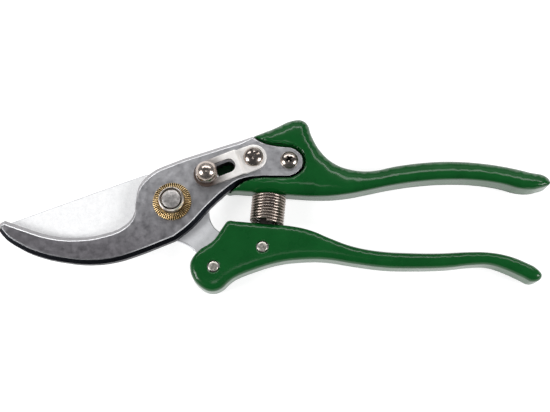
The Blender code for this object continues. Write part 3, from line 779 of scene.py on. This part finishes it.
def cut_away(mesh, cutters):
    """The mesh with cutters taken from it."""
    thing = add_object("work", mesh)
    tools = [add_object("tool", cutter) for cutter in cutters]
    for tool in tools:
        modifier = thing.modifiers.new("cut", "BOOLEAN")
        modifier.object = tool
        modifier.solver = "EXACT"
    bpy.context.view_layer.update()
    result = bpy.data.meshes.new_from_object(thing.evaluated_get(bpy.context.evaluated_depsgraph_get()))
    for done in [thing, *tools]:
        bpy.data.objects.remove(done)
    return result


def tapered_box(size, foot_share, centre, turn):
    """A box turned about its upright axis; its foot is shorter, and narrower by half as much."""
    shape = bmesh.new()
    bmesh.ops.create_cube(shape, size=1)
    for vert in shape.verts:
        share = 1.0 if vert.co.z > 0 else foot_share
        vert.co = Vector((vert.co.x * size[0] * share, vert.co.y * size[1] * (0.5 + share / 2),
                          vert.co.z * size[2])) * MM
    place_at = Matrix.Translation(Vector(centre) * MM) @ Matrix.Rotation(turn, 4, "Z")
    bmesh.ops.transform(shape, matrix=place_at, verts=shape.verts)
    mesh = bpy.data.meshes.new("taper")
    shape.to_mesh(mesh)
    shape.free()
    return mesh


# ---------------- spring

SPRING_TOP = (37.9, 3.9)  # where its ends meet the handles
SPRING_FOOT = (36.7, -8.4)
SPRING_WIRE = 1.1
SPRING_TURNS = 9.25
SPRING_STEPS = 40  # a turn
SPRING_SIDES = 12


def make_spring(look):
    low, high = extent("return_spring")
    height = float(low[2] + high[2]) / 2
    radius = float(high[2] - low[2] - SPRING_WIRE) / 2
    top, foot = Vector((*SPRING_TOP, height)), Vector((*SPRING_FOOT, height))
    axis = (top - foot).normalized()
    across = Vector((0, 0, 1))
    side = axis.cross(across)
    gap = SPRING_WIRE / 2 + TOUCH_GAP
    start, end = foot + axis * gap, top - axis * gap
    count, ring = int(SPRING_TURNS * SPRING_STEPS), SPRING_SIDES
    verts, faces, weights = [], [], []
    for i in range(count + 1):
        turn = 2 * pi * SPRING_TURNS * i / count
        out = cos(turn) * across + sin(turn) * side
        centre = start.lerp(end, i / count) + radius * out
        for k in range(ring):
            angle = 2 * pi * k / ring
            wire = SPRING_WIRE / 2 * (cos(angle) * out + sin(angle) * axis)
            verts.append(tuple((centre + wire) * MM))
            weights.append(1 - i / count)
    for i in range(count):
        for k in range(ring):
            a, b = i * ring + k, i * ring + (k + 1) % ring
            faces.append((a, b, b + ring, a + ring))
    faces += [tuple(reversed(range(ring))), tuple(range(count * ring, (count + 1) * ring))]
    mesh = new_mesh("spring_wire", verts, faces)
    shape = bmesh.new()
    shape.from_mesh(mesh)
    bmesh.ops.recalc_face_normals(shape, faces=shape.faces)
    shape.to_mesh(mesh)
    shape.free()
    spring = show("spring_wire", mesh, [look], "return_spring", 50, bends=True)
    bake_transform(spring)


# ---------------- handles

HANDLE_SLICE = 2.55  # level between the back's rounding and the spring's pegs
HANDLE_GRID = 0.8
UPPER_EDGE = (5.4, 4.4)  # width and depth of the fillet round the head's front
GRIP_CREST = (7.8, 4.4)  # the same on the grip, on its upper side
GRIP_CORNER = (2.6, 2.6)  # and on its lower side
GRIP_BEGINS = (52.0, 66.0)  # X between which the head's fillets become the grip's
UPPER_BACK = (3.0, 4.2)
LOWER_EDGE = (2.6, 2.6)
LOWER_BACK = (2.6, 3.2)
POCKET_SLICE = 2.0  # above the pocket's floor
POCKET_RIM = 1.2
POCKET_RINGS = [POCKET_RIM * s for s in (0.05, 0.2, 0.4, 0.7, 1.0)]
OFF_OUTLINE = 0.12  # the pocket's edge is where the slices differ by more than this
RIVET_HOLE = 2.38
DISH_RADIUS, DISH_DEPTH, DISH_EDGE = 2.85, 0.14, 0.3
DISH_RINGS = (0.25, 0.47, 0.57, 0.67, 0.9)
PEG = [(0, 3.4), (2.7, 3.4), (3.2, -1.4), (0, -1.4)]  # (radius, height over its handle)
PEG_CORNER = 0.5


def make_upper_handle(look, painted_shade):
    low, high = extent("upper_handle")
    floor_height = extent("hook_blade")[0][2] - TOUCH_GAP
    outline = refine(slice_loops("upper_handle", HANDLE_SLICE)[0], 0.5)
    above = refine(slice_loops("upper_handle", floor_height + POCKET_SLICE)[0], 0.4)
    off = nearest(above, outline)[0] > OFF_OUTLINE
    first = int(np.argmax(off & ~np.roll(off, 1)))
    above, off = np.roll(above, -first, 0), np.roll(off, -first)
    runs = np.flatnonzero(np.diff(off.astype(int), prepend=0, append=0)).reshape(-1, 2)
    start, end = max(runs, key=lambda r: r[1] - r[0])
    fence = above[start:end]
    fence = np.concatenate([[2 * fence[0] - fence[2]], fence, [2 * fence[-1] - fence[-3]]])

    upper_side = outward(outline)[:, 1] > -0.1
    ends = np.roll(outline, -1, 0)
    parts = [(outline[upper_side], ends[upper_side], GRIP_CREST),
             (outline[~upper_side], ends[~upper_side], GRIP_CORNER)]

    def top(points):
        grip = np.interp(points[:, 0], GRIP_BEGINS, (0.0, 1.0))
        edge = 0
        for start, end, grip_edge in parts:
            wide, deep = (head + (hand - head) * grip for head, hand in zip(UPPER_EDGE, grip_edge))
            edge = np.maximum(edge, fillet(nearest_of(points, start, end)[0], wide, deep))
        rim = fillet(nearest(points, fence, closed=False)[0], POCKET_RIM, POCKET_RIM)
        return high[2] - edge - rim

    def bottom(points):
        return low[2] + fillet(nearest(points, outline)[0], *UPPER_BACK)

    mesh, _, normals = relief(
        "upper_handle_body", outline, [], top, bottom, fillet_rings(UPPER_EDGE[0], 12), HANDLE_GRID, (),
        fence=fence, fence_rings=POCKET_RINGS, floor=(middle("tail_screw")[:2], floor_height),
        smoothing=4, rounded=True)
    mesh, normals = with_peg(mesh, normals, SPRING_TOP, SPRING_FOOT)
    show("upper_handle_body", mesh, [look, painted_shade], "upper_handle", 40, normals)


def make_lower_handle(look, painted_shade):
    low, high = extent("lower_handle")
    outline = refine(slice_loops("lower_handle", HANDLE_SLICE)[0], 0.5)
    rivets = [middle(n)[:2] for n in ("rivet_front", "rivet_rear")]
    holes = [circle(rivet, RIVET_HOLE, 48) for rivet in rivets]

    def dish(points):
        gaps = [norm(points - rivet, axis=1) for rivet in rivets]
        return sum(DISH_DEPTH * np.clip((DISH_RADIUS - gap) / DISH_EDGE, 0, 1) for gap in gaps)

    def top(points):
        return high[2] - fillet(nearest(points, outline)[0], *LOWER_EDGE) - dish(points)

    def bottom(points):
        return low[2] + fillet(nearest(points, outline)[0], *LOWER_BACK) + dish(points)

    mesh, _, normals = relief(
        "lower_handle_body", outline, holes, top, bottom, fillet_rings(LOWER_EDGE[0], 10), HANDLE_GRID,
        DISH_RINGS, smoothing=4, rounded=True)
    mesh, normals = with_peg(mesh, normals, SPRING_FOOT, SPRING_TOP)
    show("lower_handle_body", mesh, [look, painted_shade], "lower_handle", 40, normals)


def with_peg(mesh, normals, seat, towards):
    """The handle's mesh with the peg that holds the spring's end, coloured near black as painted shade, and its
    corner normals.
    """
    low, high = extent("return_spring")
    centre = Vector((*seat, float(low[2] + high[2]) / 2))
    axis = (Vector((*towards, centre.z)) - centre).normalized()
    turn = Vector((0, 0, 1)).rotation_difference(axis).to_matrix().to_4x4()
    peg = lathe("peg", soft_profile(PEG, PEG_CORNER), (0, 0), 48)
    peg.transform(Matrix.Translation(centre * MM) @ turn)
    first = len(mesh.vertices)
    verts = [tuple(v.co) for part in (mesh, peg) for v in part.vertices]
    faces = [tuple(p.vertices) for p in mesh.polygons]
    faces += [tuple(v + first for v in p.vertices) for p in peg.polygons]
    joined = new_mesh(mesh.name, verts, faces)
    for polygon in joined.polygons[len(mesh.polygons):]:
        polygon.material_index = 1
    return joined, normals + [(0, 0, 0)] * len(peg.loops)


# ---------------- blades

HOOK_FACETS = [(0.0, 1.5), (1.4, 0.12), (1.75, 0.0)]  # rim of the hook: (in from the edge, depth)
HOOK_BACK = [(0.0, 0.25), (0.25, 0.0)]
HOOK_RINGS = [0.25, 0.8, 1.4, 1.75, 2.3]
HOOK_SLICE = 2.2  # above its back
HOOK_GRID = 1.6
NECK = (-14.3, -0.4)  # the hook's rim is narrowest here, under the head
NECK_RIM, NECK_GROWTH = 0.12, 12  # share of the rim's width there, and how far off it is whole
TAIL_NARROWS = (26.0, 33.0)  # between these X the rim narrows to TAIL_RIM of its width
TAIL_RIM = 0.36
HOLE_BEVEL = [(0, 0.2), (0.2, 0)]
BLADE_FACETS = [(0.0, 0.3), (0.35, 0.0)]
BLADE_BEVEL_FACES = 0.34
BLADE_RINGS = [0.2, 0.35, 0.8, 1.5, 2.5, 3.5, 4.5, 5.5, 6.0]
BLADE_SLICE = 0.2  # below its front
BLADE_GRID = 1.4
BLADE_HEEL = (-14.5, -8.3)  # where the ground edge ends
EDGE_LAND = 0.75  # thickness left at the ground edge
GRIND_ENDS, GRIND_GROWTH = -13.9, 1.2
GRIND_LEAST, GRIND_MOST = 0.2, 6.0


def make_hook(face, rim, line, painted_shade):
    low, high = extent("hook_blade")
    outline, holes = outlines("hook_blade", low[2] + HOOK_SLICE)
    neck = norm(outline - NECK, axis=1)
    tail = np.interp(outline[:, 0], TAIL_NARROWS, (1, TAIL_RIM))
    scale = np.clip(NECK_RIM + neck / NECK_GROWTH, 0, 1) * tail

    def rim_depth(points):
        distance, near = nearest(points, outline)
        return slope(distance / scale[near], HOOK_FACETS) * scale[near]

    def top(points):
        near_hole = np.min([nearest(points, hole)[0] for hole in holes], axis=0)
        return high[2] - rim_depth(points) - slope(near_hole, HOLE_BEVEL)

    def bottom(points):
        return low[2] + slope(nearest(points, outline)[0], HOOK_BACK)

    mesh, kinds, _ = relief("hook_body", outline, holes, top, bottom, HOOK_RINGS, HOOK_GRID, (0.2,),
                            scale=scale)
    depth, near = nearest(face_centres(mesh), outline)
    # hole walls get the painted shade colour (3), the outer wall and chamfer the rim's painted light and shade
    # (1), the narrow facet the painted highlight (2)
    for polygon, kind, d in zip(mesh.polygons, kinds, depth / scale[near]):
        if kind == "wall":
            polygon.material_index = 3 if d > 1 else 1
        elif kind == "top" and d < HOOK_FACETS[2][0]:
            polygon.material_index = 1 if d < HOOK_FACETS[1][0] else 2
    points = mesh_points(mesh)
    # facing: the Y of the outline's normal, which picks between the rim's painted light and painted shade
    facing = outward(outline)[nearest(points[:, :2], outline)[1], 1]
    store(mesh, "facing", facing)
    # the face turns darker towards -Y and -X
    store(mesh, "darker_low_left", np.clip((8 - points[:, 1] - 0.12 * points[:, 0]) / 30, 0, 1))
    # painted shade over the highlight line where the rim faces -Y, left of X -6
    store(mesh, "painted_line_shade", np.clip((-6 - points[:, 0]) / 14, 0, 1) * (facing < 0))
    show("hook_body", mesh, [face, rim, line, painted_shade], "hook_blade", 12)


def make_blade(face, edge):
    low, high = extent("cutting_blade")
    outline, holes = outlines("cutting_blade", high[2] - BLADE_SLICE)
    order = np.roll(outline, -int(outline[:, 0].argmin()), 0)
    ground_edge = order[:int(norm(order - BLADE_HEEL, axis=1).argmin()) + 1]

    def top(points):
        return high[2] - slope(nearest(points, outline)[0], BLADE_FACETS)

    def bottom(points):
        distance = nearest(points, ground_edge, closed=False)[0]
        reach = np.clip(GRIND_GROWTH * (GRIND_ENDS - points[:, 0]), GRIND_LEAST, GRIND_MOST)
        ground = (high[2] - low[2] - EDGE_LAND) * np.clip(1 - distance / reach, 0, 1)
        return low[2] + np.maximum(ground, slope(nearest(points, outline)[0], HOLE_BEVEL))

    mesh, kinds, _ = relief("blade_body", outline, holes, top, bottom, BLADE_RINGS, BLADE_GRID, (0.3,))
    depth = nearest(face_centres(mesh), outline)[0]
    for polygon, kind, d in zip(mesh.polygons, kinds, depth):
        polygon.material_index = int(kind == "wall" or (kind == "top" and d < BLADE_BEVEL_FACES))
    store(mesh, "tang", np.clip(mesh_points(mesh)[:, 0] / 8 + 0.8, 0, 1))
    show("blade_body", mesh, [face, edge], "cutting_blade", 12)


# ---------------- pivot and fasteners

PIVOT = (0.0, 0.0)
BOLT_SHANK = 3.55
BOLT_HEAD = 2.4
BOLT_CHAMFER = (0.9, 0.7)  # round the head's back: across and up
BOLT_DIMPLE = (1.6, 1.2, 0.5)  # in the head's back: mouth and floor radius, depth
DOME_RISE, DOME_ROUND = 0.75, 0.93
NUT_BORE, NUT_RECESS, NUT_SHELF = 3.87, 4.3, 0.5
TEETH = 54
TOOTH_STEPS = 8
TOOTH_DEPTH = (0.25, 0.5)  # grooves between the teeth: in and down
SCREW_HEAD = 2.3
SCREW_SHANK, SCREW_ROOT, SCREW_POINT = 2.0, 1.75, 1.1
SCREW_PITCH = 0.7
SCREW_CROWN = np.radians([0, 8, 16, 25, 35, 45, 55, 65, 75, 83, 90])
CROWN_RISE = 0.572  # share of the head's radius
CROSS = (4.5, 1.05, 3.4)  # each arm's length, width and twice its depth
CROSS_FOOT = 0.36
RIVET_TOP = [(0, 0.02), (0.5, 0), (0.8, 0.06), (0.96, 0.22), (1, 0.45)]  # (share of radius, drop)
RIVET_FOOT = [(1, 0.4), (0.93, 0.12), (0.75, 0), (0, 0)]  # (share of radius, rise)


def show_turned(name, profile, centre, steps, look, node, angle):
    show(name, lathe(name, profile, centre, steps), [look], node, angle)


def make_bolt(look):
    high = extent("pivot_bolt")[1]
    head, (across, up), (mouth, floor, deep) = high[0], BOLT_CHAMFER, BOLT_DIMPLE
    dome = [(BOLT_SHANK * s, high[2] - DOME_RISE * (1 - sqrt(1 - (DOME_ROUND * s) ** 2)))
            for s in np.linspace(0, 1, 9)]
    profile = dome[:-1] + soft_profile(
        [dome[-1], (BOLT_SHANK, BOLT_HEAD), (head, BOLT_HEAD), (head, up), (head - across, 0),
         (mouth, 0), (floor, deep), (0, deep)], 0.25)
    show_turned("bolt_turned", profile, PIVOT, 128, look, "pivot_bolt", 30)


def make_nut(look):
    low, high = extent("pivot_nut")
    outer, shelf = high[0], low[2] + NUT_SHELF
    profile = soft_profile(
        [(outer - 0.45, high[2]), (outer, high[2] - 0.9), (outer, low[2]), (NUT_BORE, low[2]),
         (NUT_BORE, shelf), (NUT_RECESS - 0.1, shelf), (NUT_RECESS, high[2] - 0.15),
         (NUT_RECESS + 0.12, high[2])], 0.15)
    show_turned("nut_turned", profile, PIVOT, 128, look, "pivot_nut", 30)


def make_toothed_washer(look):
    low, high = extent("toothed_washer")
    outer, inner = high[0], extent("pivot_nut")[1][0]

    def teeth(radius, height, angle):
        if radius < inner + 0.1 or height < low[2] + 0.1:
            return radius, height
        groove = (0.5 - 0.5 * cos(TEETH * angle)) ** 1.5 * min(1.0, (radius - inner) / 0.5)
        return radius - TOOTH_DEPTH[0] * groove, height - TOOTH_DEPTH[1] * groove

    profile = [(inner - 0.6, high[2]), (inner + 0.05, high[2] - 0.05)]
    profile += [(inner + (outer - inner) * s, high[2] - 0.15 - 0.85 * s ** 1.4)
                for s in np.linspace(0.15, 1, 8)]
    profile += [(outer, low[2] + 0.05), (outer - 0.15, low[2]), (NUT_BORE, low[2]), (NUT_BORE, high[2])]
    mesh = lathe("washer_toothed", profile, PIVOT, TEETH * TOOTH_STEPS, teeth)
    # painted shade: the mask blackens the grooves between the teeth and paints the nut's shadow round its edge
    points = mesh_points(mesh)
    gap = norm(points[:, :2], axis=1) - inner
    groove = (0.5 - 0.5 * np.cos(TEETH * np.arctan2(points[:, 1], points[:, 0]))) ** 0.9
    painted_nut_shadow = np.clip(1 - gap / 0.8, 0, 1)
    store(mesh, "groove", np.maximum(groove * np.clip(gap / 0.5, 0, 1), painted_nut_shadow))
    show("washer_toothed", mesh, [look], "toothed_washer", 40)


def make_ring(node, look, centre):
    """A washer or bush with eased corners, in the place of its CAD node."""
    low, high = extent(node)
    outer, half = (high[0] - low[0]) / 2, (low[2] + high[2]) / 2
    points = np.array([v.co for v in NODES[node].data.vertices])[:, :2] / MM - np.array(centre)
    inner = norm(points, axis=1).min()
    corners = [(inner, half), (inner, high[2]), (outer, high[2]), (outer, low[2]), (inner, low[2]),
               (inner, half)]
    profile = soft_profile(corners, min(0.15, (high[2] - low[2]) / 4))[:-1]
    show_turned(node + "_turned", profile, centre, 96, look, node, 35)


def make_screw(node, look, recess, turn):
    low, high = extent(node)
    centre = middle(node)[:2]
    radius, top = (high[0] - low[0]) / 2, high[2]
    seat = top - SCREW_HEAD
    profile = [(radius * sin(a), top - CROWN_RISE * radius * (1 - cos(a))) for a in SCREW_CROWN]
    profile += soft_profile([(radius, seat + 0.15), (radius - 0.15, seat), (SCREW_SHANK, seat),
                             (SCREW_SHANK, seat - 1.1)], 0.1)
    z = seat - 1.2
    while z > low[2] + 2 * SCREW_PITCH:
        profile += [(SCREW_SHANK, z), (SCREW_ROOT, z - SCREW_PITCH / 2)]
        z -= SCREW_PITCH
    mesh = lathe(node + "_head", profile + [(SCREW_POINT, low[2]), (0, low[2])], centre, 72)
    mesh = cut_away(mesh, [tapered_box(CROSS, CROSS_FOOT, (*centre, top), turn + quarter)
                           for quarter in (0, pi / 2)])
    # the cross recess gets the painted shade colour
    for polygon in mesh.polygons:
        spot = np.array(polygon.center) / MM
        gap = norm(spot[:2] - centre)
        crown = top - CROWN_RISE * radius * (1 - sqrt(max(0.0, 1 - (gap / radius) ** 2)))
        polygon.material_index = int(gap < 2.4 and seat < spot[2] < crown - 0.06)
    show(node + "_head", mesh, [look, recess], node, 28)


def make_rivet(node, look):
    low, high = extent(node)
    radius = (high[0] - low[0]) / 2
    profile = [(radius * share, high[2] - drop) for share, drop in RIVET_TOP]
    profile += [(radius * share, low[2] + rise) for share, rise in RIVET_FOOT]
    show_turned(node + "_peened", profile, middle(node)[:2], 64, look, node, 40)


# ---------------- lock

PLATE_THICK = 1.0
PLATE_BEND = (4.9, 1.3)  # from the screw: where the bend begins, and its length
BEND_EASE = 0.6  # 0 is a straight ramp, 1 a smooth step
PLATE_HOLE = 2.35
PLATE_CORNER = 0.3
PLATE_RINGS = [0.02, 0.09, 0.18, 0.3]
PLATE_GRID = 0.45
SLOT_RADIUS = 2.75
KNOB_SHADE_BEGINS, KNOB_SHADE_GROWS = 10, 9  # painted shade of the knob's shadow and reflection on the plate: where it begins and how far it grows, from the screw
KNOB_SOCKET, SOCKET_FLOOR = 2.35, 0.6
PIN_RADIUS = 2.0


def make_plate(look, painted_shade):
    low, high = extent("lock_plate")
    knob, pad = middle("lock_knob")[:2], middle("lock_plate_screw")[:2]
    slide = frame["joints"][1]
    travel = np.array(slide["axis"][:2]) * slide["range_m"][1] / MM
    rise = high[2] - low[2] - PLATE_THICK
    along = (knob - pad) / norm(knob - pad)
    outline = refine(stadium(knob, pad, knob[0] - low[0]), 0.4)
    holes = [refine(stadium(knob, knob + travel, SLOT_RADIUS), 0.4), circle(pad, PLATE_HOLE, 40)]

    def lift(points):
        share = np.clip(((points - pad) @ along - PLATE_BEND[0]) / PLATE_BEND[1], 0, 1)
        return low[2] + rise * (share + (share * share * (3 - 2 * share) - share) * BEND_EASE)

    def corner(points):
        rim = np.min([nearest(points, line)[0] for line in [outline, *holes]], axis=0)
        return fillet(rim, PLATE_CORNER, PLATE_CORNER)

    mesh, kinds, _ = relief("plate_body", outline, holes, lambda p: lift(p) + PLATE_THICK - corner(p),
                            lambda p: lift(p) + corner(p) / 2, PLATE_RINGS, PLATE_GRID, PLATE_RINGS)
    run = (mesh_points(mesh)[:, :2] - pad) @ along
    # painted shadow and reflection of the knob: the plate turns towards near black as it nears the knob
    store(mesh, "painted_knob_shade", np.clip((run - KNOB_SHADE_BEGINS) / KNOB_SHADE_GROWS, 0, 1))
    # the walls of the slot and the screw hole get the painted shade colour
    within = nearest(face_centres(mesh), outline)[0] > 1
    for polygon, kind, inner in zip(mesh.polygons, kinds, within):
        polygon.material_index = int(kind == "wall" and inner)
    show("plate_body", mesh, [look, painted_shade], "lock_plate", 50)


def make_lock(knob_look, steel, bronze):
    centre = middle("lock_knob")[:2]
    low, high = extent("lock_knob")
    ball = (high[0] - low[0]) / 2
    heart = high[2] - ball
    foot = acos((low[2] - heart) / ball)
    profile = [(ball * sin(a), heart + ball * cos(a)) for a in np.linspace(0, foot, 30)]
    profile += [(profile[-1][0] - 0.15, low[2])] if profile[-1][0] - 0.15 > KNOB_SOCKET else []
    profile += [(KNOB_SOCKET, low[2]), (KNOB_SOCKET, heart + SOCKET_FLOOR), (0, heart + SOCKET_FLOOR)]
    show_turned("knob_ball", profile, centre, 96, knob_look, "lock_knob", 40)
    make_ring("knob_washer", bronze, centre)
    make_ring("lock_shoe", steel, centre)
    low, high = extent("lock_pin")
    profile = soft_profile([(0, high[2]), (PIN_RADIUS, high[2]), (PIN_RADIUS, low[2]), (0, low[2])], 0.3)
    show_turned("pin_turned", profile, centre, 48, steel, "lock_pin", 35)


# ---------------- build

make_camera()
make_studio()
paint = enamel()
# the hook's face is mixed towards a deeper grey towards -Y and -X
hook_face = metal("hook_steel", (0.54, 0.535, 0.555), 0.42, mottle=0.14, mottle_size=2.6,
                  grain=(0.3, 0.12, 0.3), turn=0.3, wear=0.1, masked=("darker_low_left", (0.26, 0.247, 0.265)))
# painted highlight: the narrow facet along the hook's edge is near white, with painted shade where it faces -Y on
# the left
hook_highlight_line = metal("hook_painted_highlight", (0.85, 0.85, 0.87), 0.4, mottle=0.15, mottle_size=1.2, metallic=0.5,
                  masked=("painted_line_shade", (0.2, 0.2, 0.21)))
blade_face = metal("blade_satin", (0.97, 0.97, 0.975), 0.5, mottle=0.05, mottle_size=1.8,
                   grain=(0.3, 0.3, 0.3), metallic=0.05, grain_depth=0.001,
                   masked=("tang", (0.66, 0.66, 0.68)))
blade_edge = metal("blade_edge", (0.6, 0.6, 0.62), 0.4, mottle=0.2, wear=0.25)
nickel = metal("nickel", (0.42, 0.365, 0.325), 0.2, mottle=0.2, mottle_size=1.6,
               stain=(0.15, 0.11, 0.09), wear=0.8, grain_depth=0.0006)
# painted shade: near black for hollows and shaded parts, the hole and slot walls, the screws' cross recesses and
# the spring's pegs
painted_shade_black = metal("painted_shade_black", (0.025, 0.02, 0.018), 0.5, mottle=0.3, mottle_size=0.8,
                    metallic=0.4)
knob_nickel = metal("knob_nickel", (0.5, 0.43, 0.385), 0.24, mottle=0.15, mottle_size=2.0,
                    stain=(0.28, 0.21, 0.16), grain_depth=0.0004)
# painted shade near the knob stands in for its shadow and reflection on the plate
plate_nickel = metal("plate_nickel", (0.98, 0.95, 0.92), 0.38, mottle=0.06, mottle_size=4.0,
                     grain=(2.2, 0.14, 0.3), turn=0.36, metallic=0.25, grain_depth=0.001,
                     masked=("painted_knob_shade", (0.08, 0.055, 0.045)))
collar_nickel = metal("collar_nickel", (0.95, 0.88, 0.8), 0.36, mottle=0.12, grain_depth=0.001)
dome_steel = metal("dome_steel", (0.46, 0.44, 0.43), 0.45, mottle=0.4, mottle_size=0.9,
                   grain_depth=0.003)
steel = metal("plain_steel", (0.5, 0.49, 0.48), 0.32, mottle=0.15, wear=0.25)
rivet_steel = metal("rivet_steel", (0.5, 0.48, 0.43), 0.34, mottle=0.4, mottle_size=0.7, metallic=0.85,
                    wear=0.25, grain_depth=0.01)
# painted shade in the grooves between the teeth and the nut's painted shadow, through the mask
zinc = metal("yellow_zinc", (0.92, 0.68, 0.36), 0.3, mottle=0.12, mottle_size=1.0,
             grain_depth=0.001, masked=("groove", (0.05, 0.028, 0.01)))
bronze = metal("bronze", (0.42, 0.28, 0.14), 0.38, mottle=0.2, wear=0.25)
wire = metal("spring_steel", (0.34, 0.285, 0.25), 0.26, mottle=0.06, mottle_size=6.0,
             grain_depth=0.0002)
make_upper_handle(paint, painted_shade_black)
make_lower_handle(paint, painted_shade_black)
make_hook(hook_face, hook_rim_lit_and_shaded(), hook_highlight_line, painted_shade_black)
make_blade(blade_face, blade_edge)
make_bolt(dome_steel)
make_nut(collar_nickel)
make_toothed_washer(zinc)
make_ring("back_washer", steel, PIVOT)
make_ring("friction_washer", bronze, PIVOT)
make_ring("pivot_bush", bronze, PIVOT)
make_screw("lock_plate_screw", nickel, painted_shade_black, radians(25))
make_screw("tail_screw", nickel, painted_shade_black, radians(32))
make_rivet("rivet_front", rivet_steel)
make_rivet("rivet_rear", rivet_steel)
make_plate(plate_nickel, painted_shade_black)
make_lock(knob_nickel, steel, bronze)
make_spring(wire)
